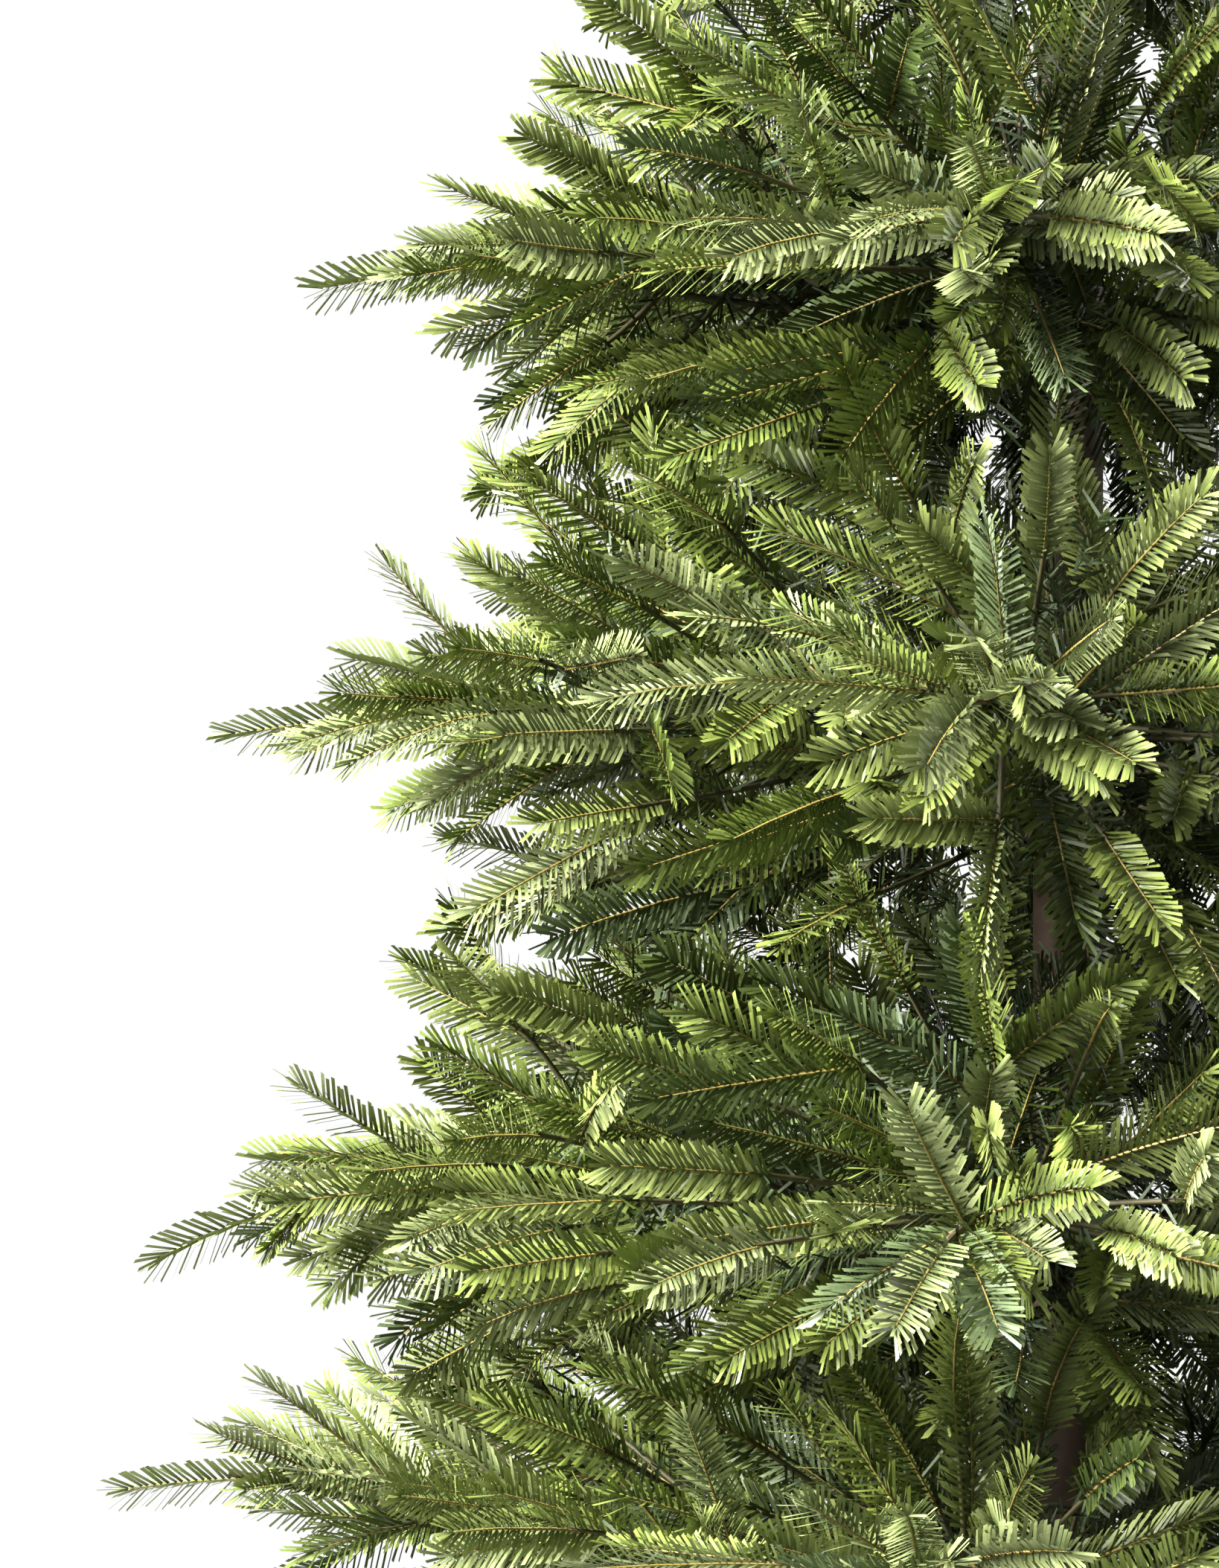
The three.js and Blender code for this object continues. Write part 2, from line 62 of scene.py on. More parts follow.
class Value:
    """An output of a finish's nodes. Arithmetic on it adds the Math nodes that it takes."""

    def __init__(self, finish, socket):
        self.finish = finish
        self.socket = socket

    def maths(self, operation, *terms):
        return self.finish.node("ShaderNodeMath", {"operation": operation}, dict(enumerate(terms)))

    def __add__(self, other):
        return self.maths("ADD", self, other)

    def __radd__(self, other):
        return self.maths("ADD", other, self)

    def __sub__(self, other):
        return self.maths("SUBTRACT", self, other)

    def __rsub__(self, other):
        return self.maths("SUBTRACT", other, self)

    def __mul__(self, other):
        return self.maths("MULTIPLY", self, other)

    def __rmul__(self, other):
        return self.maths("MULTIPLY", other, self)

    def above(self, edge, soft):
        """0 below an edge and 1 above it, with a soft step."""
        edges = {"Value": self, "From Min": edge - soft, "From Max": edge + soft}
        return self.finish.node("ShaderNodeMapRange", {"interpolation_type": "SMOOTHSTEP"}, edges)


class Finish:
    """A material for one kind of surface, with patterns that keep to their place on the piece."""

    def __init__(self, name, **fixed):
        self.material = bpy.data.materials.new(name)
        self.material.use_nodes = True
        self.tree = self.material.node_tree
        self.surface = self.tree.nodes["Principled BSDF"]
        for socket, number in fixed.items():
            self.surface.inputs[socket.replace("_", " ")].default_value = number
        self.place = self.node("ShaderNodeTexCoord", {}, {}, "Object")

    def node(self, kind, settings, sockets, out=0):
        """Adds a node with its settings and the numbers, colours or links of its sockets."""
        made = self.tree.nodes.new(kind)
        for setting, choice in settings.items():
            setattr(made, setting, choice)
        for name, given in sockets.items():
            self.feed(made.inputs[name], given)
        return Value(self, made.outputs[out])

    def feed(self, socket, given):
        if isinstance(given, Value):
            self.tree.links.new(given.socket, socket)
        elif socket.type == "RGBA":
            socket.default_value = (*given, 1)
        else:
            socket.default_value = given

    def noise(self, scale, detail=3):
        return self.node("ShaderNodeTexNoise", {}, {"Vector": self.place, "Scale": scale, "Detail": detail})

    def mixed(self, share, first, second):
        """A blend of two colours, by the numbers of a Mix node's colour sockets."""
        return self.node("ShaderNodeMix", {"data_type": "RGBA"}, {0: share, 6: first, 7: second}, 2)

    def wear(self, colour, roughness, relief=None, height=0.0005):
        """Puts what changes over the surface on it, and hands back the material."""
        self.feed(self.surface.inputs["Base Color"], colour)
        self.feed(self.surface.inputs["Roughness"], roughness)
        if relief is not None:
            bump = self.node("ShaderNodeBump", {}, {"Strength": 0.6, "Distance": height, "Height": relief})
            self.feed(self.surface.inputs["Normal"], bump)
        return self.material


def painted_steel(name, paint, shade, bare, bare_share):
    """Paint on steel: faint orange peel, a cloudy tone, and small chips where it wore through."""
    finish = Finish(name, Metallic=0.0, IOR=1.5, Coat_Weight=0.15, Coat_Roughness=0.3)
    cloud = finish.noise(9)
    chips = finish.noise(160, 5).above(1 - bare_share, 0.01) * finish.noise(22).above(0.55, 0.05)
    colour = finish.mixed(cloud, paint, shade)
    colour = finish.mixed(chips, colour, bare)
    peel = finish.noise(900, 2)
    return finish.wear(colour, 0.42 + 0.2 * cloud + 0.1 * chips, peel - 0.6 * chips, 0.0002)


stand_green = painted_steel(
    "stand_green", paint=(0.012, 0.032, 0.018), shade=(0.02, 0.05, 0.028),
    bare=(0.3, 0.29, 0.27), bare_share=0.3)


def select_none():
    """Leaves edit mode and deselects everything."""
    if bpy.context.object and bpy.context.object.mode != "OBJECT":
        bpy.ops.object.mode_set(mode="OBJECT")
    bpy.ops.object.select_all(action="DESELECT")


def finished(name, material):
    """Names the active object, puts its place into its mesh, and gives it its finish and outward faces."""
    piece = bpy.context.object
    piece.name = name
    piece.data.name = name
    bpy.ops.object.transform_apply()
    bpy.ops.object.mode_set(mode="EDIT")
    bpy.ops.mesh.select_all(action="SELECT")
    bpy.ops.mesh.remove_doubles(threshold=1e-6)
    bpy.ops.mesh.normals_make_consistent(inside=False)
    bpy.ops.object.mode_set(mode="OBJECT")
    piece.data.materials.clear()
    piece.data.materials.append(material)
    bpy.ops.object.shade_smooth_by_angle(angle=math.radians(35))
    return piece


def bevelled(width, segments):
    """Rounds the active object's sharp edges."""
    bpy.ops.object.modifier_add(type="BEVEL")
    edge = bpy.context.object.modifiers[-1]
    edge.width = width
    edge.segments = segments
    edge.limit_method = "ANGLE"
    edge.angle_limit = math.radians(40)
    bpy.ops.object.modifier_apply(modifier=edge.name)


def turned(outline, sides):
    """A round piece on the Z axis from (radius, height) pairs, extruded and resized step by step."""
    select_none()
    radius, height = outline[0]
    bpy.ops.mesh.primitive_circle_add(
        vertices=sides, radius=radius, fill_type="NGON", location=(0, 0, height))
    bpy.ops.object.transform_apply()
    bpy.ops.object.mode_set(mode="EDIT")
    bpy.ops.mesh.select_all(action="SELECT")
    for next_radius, next_height in outline[1:]:
        bpy.ops.mesh.extrude_region_move(TRANSFORM_OT_translate={"value": (0, 0, next_height - height)})
        grow = next_radius / radius
        bpy.ops.transform.resize(value=(grow, grow, 1), center_override=(0, 0, next_height))
        radius, height = next_radius, next_height
    bpy.ops.object.mode_set(mode="OBJECT")
    return bpy.context.object


def joined(pieces):
    """Joins pieces into the first one."""
    select_none()
    for piece in pieces:
        piece.select_set(True)
    bpy.context.view_layer.objects.active = pieces[0]
    bpy.ops.object.join()
    return bpy.context.object


def lay_out(piece, direction, height):
    """Lays a piece made along +Z down along +X, lifts it, and turns it to a direction round the pole."""
    piece.rotation_euler = (0, math.pi / 2, math.radians(direction))
    piece.location = (0, 0, height)
    select_none()
    piece.select_set(True)
    bpy.context.view_layer.objects.active = piece
    bpy.ops.object.transform_apply()
    return piece


cup_outside = [
    (SOCKET_RADIUS - 0.002, SOCKET_FOOT), (SOCKET_RADIUS, SOCKET_FOOT + 0.002),
    (SOCKET_RADIUS, SOCKET_TOP - 0.006), (SOCKET_RADIUS + 0.0012, SOCKET_TOP - 0.003),
    (SOCKET_RADIUS + 0.0006, SOCKET_TOP - 0.0004), (SOCKET_RADIUS - 0.001, SOCKET_TOP),
]
cup_inside = [
    (SOCKET_BORE + 0.0004, SOCKET_TOP - 0.0006), (SOCKET_BORE, SOCKET_TOP - 0.003),
    (SOCKET_BORE, POLE_FOOT - FIT_GAP), (CLOSED, POLE_FOOT - FIT_GAP),
]
nut_outline = [
    (NUT_FACE, SOCKET_RADIUS - 0.001), (NUT_RADIUS, SOCKET_RADIUS + 0.0005), (NUT_RADIUS, NUT_END - 0.001),
    (NUT_FACE, NUT_END), (NUT_HOLE, NUT_END), (NUT_HOLE, SOCKET_RADIUS - 0.0008),
]
cup = turned(cup_outside + cup_inside, 48)
nuts = [lay_out(turned(nut_outline, 6), direction, SCREW_HEIGHT) for direction in SCREW_DIRECTIONS]
weld_beads = []
for direction in SCREW_DIRECTIONS:
    select_none()
    bpy.ops.mesh.primitive_torus_add(
        major_radius=BEAD_RADIUS, minor_radius=BEAD_THICKNESS, major_segments=22, minor_segments=8,
        location=(0, 0, SOCKET_RADIUS))
    weld_beads.append(lay_out(bpy.context.object, direction, SCREW_HEIGHT))
joined([cup, *nuts, *weld_beads])
socket = finished("stand_cup", stand_green)
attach(socket, "root")
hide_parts("stand_socket")

# Stand legs
# Four legs of bent steel tube, welded to the socket near its top, each with a thin strut back to the
# socket's foot. Painted like the socket. A ribbed black rubber cap is pushed over each end, to the floor.

LEG_DIRECTIONS = [45, 135, 225, 315]
LEG_RADIUS = 0.008
LEG_START = SOCKET_RADIUS + FIT_GAP
LEG_REACH = 0.285
LEG_TOP = 0.112
STRUT_RADIUS = 0.004
FOOT_RADIUS = 0.013
FOOT_HEIGHT = 0.024
FOOT_RIBS = 4
RIB_SPACING = 0.0044

foot_rubber = Finish("foot_rubber", Metallic=0.0, IOR=1.45)
dust = foot_rubber.noise(120, 4)
foot_rubber = foot_rubber.wear(
    foot_rubber.mixed(dust, (0.012, 0.012, 0.012), (0.035, 0.034, 0.032)), 0.62 + 0.25 * dust, dust, 0.0003)


def bent_tube(points, radius, sides, direction):
    """A tube bent through points given as (distance from the pole, height), turned to a direction."""
    select_none()
    bpy.ops.curve.primitive_nurbs_path_add(location=(0, 0, 0))
    path = bpy.context.object
    path.data.splines.clear()
    spline = path.data.splines.new("NURBS")
    spline.points.add(len(points) - 1)
    turn = math.radians(direction)
    for point, (distance, height) in zip(spline.points, points):
        point.co = (distance * math.cos(turn), distance * math.sin(turn), height, 1)
    spline.use_endpoint_u = True
    spline.order_u = 4
    spline.resolution_u = 6
    path.data.bevel_depth = radius
    path.data.bevel_resolution = sides // 4
    path.data.use_fill_caps = True
    bpy.ops.object.convert(target="MESH")
    return bpy.context.object


leg_line = [
    (LEG_START, LEG_TOP), (LEG_START + 0.016, LEG_TOP), (LEG_START + 0.034, LEG_TOP - 0.003),
    (0.086, LEG_TOP - 0.026), (0.15, 0.069), (0.214, 0.04), (0.25, 0.0245), (0.27, 0.019),
    (LEG_REACH - 0.002, 0.0165),
]
strut_line = [(LEG_START, 0.03), (0.07, 0.036), (0.13, 0.042), (0.188, 0.0495)]
weld_outline = [
    (0.0086, LEG_START + 0.0002), (0.0108, LEG_START + 0.0006), (0.0112, LEG_START + 0.0018),
    (0.0092, LEG_START + 0.0042), (0.0079, LEG_START + 0.0048),
]
foot_outline = [(FOOT_RADIUS + 0.0008, 0.0), (FOOT_RADIUS + 0.0012, 0.0012)]
for rib in range(FOOT_RIBS):
    rib_foot = 0.0022 + RIB_SPACING * rib
    foot_outline += [(FOOT_RADIUS + 0.0009, rib_foot), (FOOT_RADIUS + 0.0009, rib_foot + 0.0022)]
    foot_outline += [(FOOT_RADIUS - 0.0002, rib_foot + 0.003), (FOOT_RADIUS - 0.0002, rib_foot + 0.0038)]
foot_outline += [
    (FOOT_RADIUS, 0.0204), (FOOT_RADIUS - 0.001, 0.0228),
    (FOOT_RADIUS - 0.004, FOOT_HEIGHT), (CLOSED, FOOT_HEIGHT),
]

for index, direction in enumerate(LEG_DIRECTIONS):
    tube = bent_tube(leg_line, LEG_RADIUS, 20, direction)
    strut = bent_tube(strut_line, STRUT_RADIUS, 12, direction)
    weld = lay_out(turned(weld_outline, 28), direction, LEG_TOP)
    joined([tube, strut, weld])
    leg = finished(f"leg_tube_{index + 1}", stand_green)
    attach(leg, "root")
    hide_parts(f"stand_leg_{index + 1}")

    cap = turned(foot_outline, 32)
    turn = math.radians(direction)
    cap.location = (LEG_REACH * math.cos(turn), LEG_REACH * math.sin(turn), 0)
    cap = finished(f"foot_cap_{index + 1}", foot_rubber)
    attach(cap, "root")
    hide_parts(f"stand_leg_{index + 1}")

# Thumb screws
# Zinc-plated screws that run through the nuts and hold the pole upright: a threaded shank with rolled
# flanks, a shoulder, and a flat pressed wing with rounded ends.

SCREW_START = POLE_RADIUS + 0.0006
SCREW_END = NUT_END + 0.018
THREAD_TURNS = 16
WING_RADIUS = 0.0085
WING_THICKNESS = 0.0044
WING_STRETCH = 2
WING_WAIST = 0.55

zinc = Finish("zinc", Metallic=1.0, IOR=2.5)
bloom = zinc.noise(210, 5)
zinc = zinc.wear(
    zinc.mixed(bloom, (0.62, 0.61, 0.58), (0.45, 0.45, 0.44)), 0.28 + 0.2 * bloom, bloom, 0.0001)

shank_outline = [(0.0026, SCREW_START), (0.0036, SCREW_START + 0.001)]
for turn in range(THREAD_TURNS):
    flank = SCREW_START + 0.001 + (SCREW_END - SCREW_START - 0.006) * turn / THREAD_TURNS
    shank_outline += [(0.004, flank + 0.0005), (0.0034, flank + 0.0013)]
shank_outline += [
    (0.004, SCREW_END - 0.005), (0.0058, SCREW_END - 0.0045),
    (0.0058, SCREW_END - 0.002), (0.002, SCREW_END),
]

for index, direction in enumerate(SCREW_DIRECTIONS):
    shank = lay_out(turned(shank_outline, 24), direction, SCREW_HEIGHT)
    select_none()
    bpy.ops.mesh.primitive_cylinder_add(vertices=40, radius=WING_RADIUS, depth=WING_THICKNESS)
    wing = bpy.context.object
    bpy.ops.object.mode_set(mode="EDIT")
    bpy.ops.mesh.select_all(action="SELECT")
    bpy.ops.transform.resize(value=(1, WING_STRETCH, 1), center_override=(0, 0, 0))
    bpy.ops.object.mode_set(mode="OBJECT")
    for vertex in wing.data.vertices:
        towards_end = abs(vertex.co.y) / (WING_STRETCH * WING_RADIUS)
        vertex.co.x *= WING_WAIST + (1 - WING_WAIST) * towards_end
    bevelled(0.0011, 3)
    wing.rotation_euler = (math.pi / 2, 0, 0)
    wing.location = (SCREW_END, 0, SCREW_HEIGHT)
    bpy.ops.object.transform_apply()
    wing.rotation_euler = (0, 0, math.radians(direction))
    joined([shank, wing])
    screw = finished(f"wing_screw_{index + 1}", zinc)
    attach(screw, "root")
    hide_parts(f"stand_screw_{index + 1}")

# Pole
# Two sections of brown painted steel tube, the upper one with a narrower spigot that plugs into the lower.
# A collar is pressed on at every row, with a folded bracket for each bough and a pin through its cheeks.

TREE_HEIGHT = 2.1
CROWN_FOOT = 0.25
CROWN_REACH = 0.43
CROWN_SWELL = 1.45
FIRST_TIER = 0.275
TIER_SPACING = 0.203
# For each row of boughs: how many, where the first one points, and how steeply they rise.
TIERS = [(5, 186, 0.3), (5, 190, 0.07), (5, 192, 0.1), (5, 188, 0.09), (4, 202, 0.2), (4, 168, 0.3)]
BOUGH_BOW = 0.16
BOUGH_SWAY = 0.05
TURN_SPREAD = 8
REACH_SPREAD = 0.05
SEED = 351
BOUGH_ROOT_RADIUS = 0.005
POLE_JOINT = 0.78
POLE_TOP = 1.47
UPPER_RADIUS = 0.0145
TUBE_WALL = 0.0016
SPIGOT_RADIUS = POLE_RADIUS - TUBE_WALL - FIT_GAP
SPIGOT_LENGTH = 0.06
SPIGOT_HOLE = 0.0605
RING_SPACING = 0.05
COLLAR_RADIUS = 0.021
BRACKET_REACH = 0.028
BRACKET_SIZE = (0.0105, 0.0128, 0.0156)
BRACKET_WALL = 0.0022
PIN_RADIUS = 0.0016
PIN_LENGTH = 0.0155


def chance(seed):
    """A number from 0 to 1 that is always the same for the same seed."""
    mixed = (seed * 0x9E3779B1 + 0x7F4A7C15) & 0xFFFFFFFF
    mixed = ((mixed ^ (mixed >> 16)) * 0x85EBCA6B) & 0xFFFFFFFF
    mixed = ((mixed ^ (mixed >> 13)) * 0xC2B2AE35) & 0xFFFFFFFF
    return (mixed ^ (mixed >> 16)) / 4294967296


def stray(seed):
    """A number from -1 to 1 by the same rule."""
    return 2 * chance(seed) - 1


def crown_reach(height):
    """How far the crown reaches from the pole at a height."""
    share = min(max((height - CROWN_FOOT) / (TREE_HEIGHT - CROWN_FOOT), 0), 1)
    return CROWN_REACH * (1 - share**CROWN_SWELL)


def tier_height(tier):
    return FIRST_TIER + TIER_SPACING * tier


def tier_reach(tier):
    """How far a row's boughs reach: as far as the crown does where their tips end."""
    lift = TIERS[tier][2]
    return crown_reach(tier_height(tier) + lift * crown_reach(tier_height(tier)))


def placed(direction, distance, height, aside=0.0):
    """A point at a distance from the pole, a height, and a distance to the left of its direction."""
    angle = math.radians(direction)
    return np.array([
        distance * math.cos(angle) - aside * math.sin(angle),
        distance * math.sin(angle) + aside * math.cos(angle),
        height,
    ])


class Bough:
    """One bough of a row: where it points, how far it reaches, and the arched line that it follows."""

    def __init__(self, tier, index):
        count, turn, lift = TIERS[tier]
        leading = index < 2
        self.tier = tier
        self.index = index
        self.seed = SEED + 100 * (tier + 1) + 10 * index
        self.middle = turn + 360 / count * index
        self.half_slice = 180 / count
        self.direction = self.middle + (0 if leading else TURN_SPREAD * stray(self.seed))
        self.reach = tier_reach(tier) * (1 - REACH_SPREAD * (0.3 if leading else chance(self.seed + 1)))
        height = tier_height(tier)
        slope = math.atan(lift + 2 * BOUGH_BOW)
        start = BRACKET_REACH + FIT_GAP + BOUGH_ROOT_RADIUS * math.sin(slope)
        bow_height = height + (lift / 2 + BOUGH_BOW) * self.reach
        aside = BOUGH_SWAY * self.reach * stray(self.seed + 2)
        self.root = placed(self.direction, start, height)
        self.bend = placed(self.direction, (start + self.reach) / 2, bow_height)
        self.tip = placed(self.direction, self.reach, height + lift * self.reach, aside)
        steps = [self.at(share / 40) for share in range(41)]
        self.length = sum(np.linalg.norm(b - a) for a, b in zip(steps, steps[1:]))

    def at(self, share):
        return (1 - share) ** 2 * self.root + 2 * share * (1 - share) * self.bend + share**2 * self.tip

    def along(self, share):
        way = (1 - share) * (self.bend - self.root) + share * (self.tip - self.bend)
        return way / np.linalg.norm(way)


boughs = [Bough(tier, index) for tier, row in enumerate(TIERS) for index in range(row[0])]

pole_brown = painted_steel(
    "pole_brown", paint=(0.155, 0.1, 0.072), shade=(0.105, 0.066, 0.048),
    bare=(0.36, 0.33, 0.3), bare_share=0.27)


def with_rings(outline):
    """The outline with rings along its long stretches, so that no face of the tube is long and thin."""
    rings = []
    for (r0, z0), (r1, z1) in zip(outline, outline[1:]):
        rings.append((r0, z0))
        if z1 - z0 > 2 * RING_SPACING:
            cuts = int((z1 - z0) / RING_SPACING)
            rings += [(r0 + (r1 - r0) * cut / cuts, z0 + (z1 - z0) * cut / cuts) for cut in range(1, cuts)]
    return [*rings, outline[-1]]


def bracket(direction, height):
    """A folded bracket with a recess in its face, a pin through it, and rounded edges."""
    select_none()
    bpy.ops.mesh.primitive_cube_add(size=1)
    fold = bpy.context.object
    fold.scale = BRACKET_SIZE
    fold.location = (BRACKET_REACH - 0.0052, 0, height)
    bpy.ops.object.transform_apply()
    bpy.ops.object.mode_set(mode="EDIT")
    bpy.ops.mesh.select_all(action="DESELECT")
    bpy.ops.object.mode_set(mode="OBJECT")
    for face in fold.data.polygons:
        face.select = face.normal.x > 0.9
    bpy.ops.object.mode_set(mode="EDIT")
    bpy.ops.mesh.inset(thickness=BRACKET_WALL, use_even_offset=True)
    bpy.ops.mesh.extrude_region_move(TRANSFORM_OT_translate={"value": (-0.0012, 0, 0)})
    bpy.ops.object.mode_set(mode="OBJECT")
    bevelled(0.0008, 2)
    select_none()
    bpy.ops.mesh.primitive_cylinder_add(
        vertices=16, radius=PIN_RADIUS, depth=PIN_LENGTH,
        location=(BRACKET_REACH - 0.0045, 0, height + 0.003), rotation=(math.pi / 2, 0, 0))
    pin = bpy.context.object
    bevelled(0.0005, 2)
    pinned = joined([fold, pin])
    bpy.ops.object.transform_apply()
    pinned.rotation_euler = (0, 0, math.radians(direction))
    bpy.ops.object.transform_apply()
    return pinned


upper_foot = POLE_JOINT + FIT_GAP
lower_outline = [
    (POLE_RADIUS - 0.001, POLE_FOOT), (POLE_RADIUS, POLE_FOOT + 0.001), (POLE_RADIUS, POLE_JOINT - 0.0035),
    (POLE_RADIUS + 0.0007, POLE_JOINT - 0.0022), (POLE_RADIUS + 0.0006, POLE_JOINT - 0.0006),
    (POLE_RADIUS - 0.0004, POLE_JOINT), (POLE_RADIUS - TUBE_WALL, POLE_JOINT - 0.0006),
    (POLE_RADIUS - TUBE_WALL, POLE_JOINT - SPIGOT_HOLE), (CLOSED, POLE_JOINT - SPIGOT_HOLE),
]
upper_outline = [
    (SPIGOT_RADIUS - 0.0015, upper_foot - SPIGOT_LENGTH), (SPIGOT_RADIUS, upper_foot - 0.057),
    (SPIGOT_RADIUS, upper_foot - 0.0001), (UPPER_RADIUS - 0.0002, upper_foot),
    (UPPER_RADIUS, upper_foot + 0.0006), (UPPER_RADIUS, POLE_TOP - 0.001),
    (UPPER_RADIUS - 0.001, POLE_TOP), (CLOSED, POLE_TOP),
]
for name, foot, top, radius, outline in [
    ("pole_lower", POLE_FOOT, POLE_JOINT, POLE_RADIUS, lower_outline),
    ("pole_upper", upper_foot, POLE_TOP, UPPER_RADIUS, upper_outline),
]:
    pieces = [turned(with_rings(outline), 32)]
    half_collar = [
        (radius - 0.0005, 0.011), (COLLAR_RADIUS - 0.0012, 0.011), (COLLAR_RADIUS, 0.0098),
        (COLLAR_RADIUS, 0.0045), (COLLAR_RADIUS - 0.0011, 0.0035),
    ]
    for tier in range(len(TIERS)):
        middle = tier_height(tier)
        if not foot < middle < top:
            continue
        below = [(out, middle - off) for out, off in half_collar]
        above = [(out, middle + off) for out, off in reversed(half_collar)]
        pieces.append(turned(below + above, 40))
        pieces += [bracket(bough.direction, middle) for bough in boughs if bough.tier == tier]
    joined(pieces)
    pole = finished(f"{name}_tube", pole_brown)
    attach(pole, "root")
    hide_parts(name)

# Boughs
# Each bough is steel wire wrapped in a spiral of brown and green crinkled tape. It leaves its bracket,
# rises in an arch, and thins towards the tip. The leader is the same wire, upright on top of the pole.

BOUGH_TIP_RADIUS = 0.0014
BOUGH_END = 0.085
BOUGH_STEPS = 64
LEADER_ROOT_RADIUS = 0.008
LEADER_END = 0.09
WRAP_PITCH = 0.007
WRAP_SIDES = 8
WRAP_INNER = 0.93
WRAP_STEP = 0.1

wire_tape = Finish("wire_tape", Metallic=0.0, IOR=1.45)
fibre = wire_tape.noise(420, 4)
stain = wire_tape.noise(38, 2)
tape_colour = wire_tape.mixed(stain.above(0.5, 0.12), (0.05, 0.034, 0.018), (0.022, 0.03, 0.012))
tape_colour = wire_tape.mixed(0.5 * fibre, tape_colour, (0.11, 0.085, 0.045))
wire_tape = wire_tape.wear(tape_colour, 0.7 + 0.2 * fibre, fibre, 0.0004)


def unit(vectors):
    """Vectors at a length of one."""
    return vectors / np.maximum(np.linalg.norm(vectors, axis=-1, keepdims=True), 1e-12)


def tubes(lines, radii, sides):
    """Tubes along many lines at once, as points and four-cornered faces. Lines are (count, steps, 3)."""
    count, steps, _ = lines.shape
    ways = unit(np.gradient(lines, axis=1))
    steep = np.abs(ways[:, :1, 2:]) > 0.9
    reference = np.where(steep, [1.0, 0, 0], [0, 0, 1.0])
    left = unit(np.cross(reference, ways))
    over = np.cross(ways, left)
    angles = np.arange(sides) * 2 * math.pi / sides
    ring = left[:, :, None] * np.cos(angles)[:, None] + over[:, :, None] * np.sin(angles)[:, None]
    radii = radii if radii.ndim == 3 else radii[:, :, None]
    points = lines[:, :, None] + ring * radii[..., None]
    number = np.arange(count * steps * sides).reshape(count, steps, sides)
    turned_on = np.roll(number, -1, axis=2)
    faces = np.stack([number[:, :-1], turned_on[:, :-1], turned_on[:, 1:], number[:, 1:]], axis=-1)
    return points.reshape(-1, 3), faces.reshape(-1, 4)


def mesh_piece(name, points, faces, material, smooth=False):
    """A piece from arrays of points and of faces with equally many corners."""
    mesh = bpy.data.meshes.new(name)
    mesh.vertices.add(len(points))
    mesh.vertices.foreach_set("co", points.astype(np.float32).ravel())
    mesh.loops.add(faces.size)
    mesh.loops.foreach_set("vertex_index", faces.astype(np.int32).ravel())
    mesh.polygons.add(len(faces))
    mesh.polygons.foreach_set("loop_start", np.arange(0, faces.size, faces.shape[1], dtype=np.int32))
    mesh.polygons.foreach_set("use_smooth", np.full(len(faces), smooth))
    mesh.update(calc_edges=True)
    mesh.materials.append(material)
    piece = bpy.data.objects.new(name, mesh)
    bpy.context.scene.collection.objects.link(piece)
    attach(piece, "root")
    return piece


shares = np.linspace(0, 1, BOUGH_STEPS)
lines = [bough.at((1 - BOUGH_END / bough.length) * shares[:, None]) for bough in boughs]
leader_foot = POLE_TOP + FIT_GAP
leader_rise = TREE_HEIGHT - LEADER_END - POLE_TOP
lines = np.array([*lines, np.array([[0, 0, leader_foot + leader_rise * share] for share in shares])])
thickness = np.array([
    *[BOUGH_ROOT_RADIUS + (BOUGH_TIP_RADIUS - BOUGH_ROOT_RADIUS) * shares for _ in boughs],
    LEADER_ROOT_RADIUS + (BOUGH_TIP_RADIUS - LEADER_ROOT_RADIUS) * shares,
])
run = np.cumsum(np.linalg.norm(np.diff(lines, axis=1), axis=2), axis=1)
run = np.concatenate([np.zeros((len(lines), 1)), run], axis=1)
around = np.arange(WRAP_SIDES) * 2 * math.pi / WRAP_SIDES
wrap = (run[:, :, None] / WRAP_PITCH + around / (2 * math.pi)) % 1
relief = thickness[:, :, None] * (WRAP_INNER + WRAP_STEP * wrap)
# The wire is drawn in at both ends.
relief[:, 0] *= 0.55
relief[:, -1] *= 0.4
points, faces = tubes(lines, relief, WRAP_SIDES)
bough_wires = mesh_piece("bough_wires", points, faces, wire_tape)
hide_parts(*[f"bough_row_{b.tier + 1}_{b.index + 1}" for b in boughs if b.tier < 4])

# Twigs
# Twigs of thin brown wire are wound into every bough and follow each other round it by an even turn, long
# near the pole and short near the tip, bent outwards by hand and drooping a little. Each carries sprigs.

LOWEST_FOLIAGE = 0.15
POLE_CLEARANCE = 0.02
LEADER_LIFT = 0.55
LEADER_EDGE = 0.86
LEADER_BARE = 0.12
LEADER_SPACING = 0.0054
EDGE_BETWEEN_ROWS = 0.75
EDGE_AT_ROW = 0.19
ROW_HALF = 0.26
SLICE_OVERLAP = 1.15
MINGLING = 0.07
FIRST_TWIG = 0.028
LAST_TWIG = 0.1
TWIG_TURN = 137.5
TWIG_SPACING = 0.008
TWIG_STEPS = 6
TWIG_REACH = 0.54
TWIG_EXTRA = 0.085
SHORTEST_TWIG = 0.055
TWIG_RADIUS = 0.0018
TWIG_TIP_RADIUS = 0.0011
ROOT_LEAN = 76
END_LEAN = 52
CORE_REACH = 0.11
DROOP = np.array([0, 0, 0.15])
SPRIG_LENGTH = 0.087
SPRIG_MIDDLE = 0.6
PAST_MIDDLE = (1 - SPRIG_MIDDLE) * SPRIG_LENGTH
SPRIG_SPACING = 0.0165
SPRIG_ROOM = 0.036
INNER_ROOM = 0.045
OUTER_SHELL = 0.58
OPEN_ROOM = 0.033
OPEN_PLACES = 22000
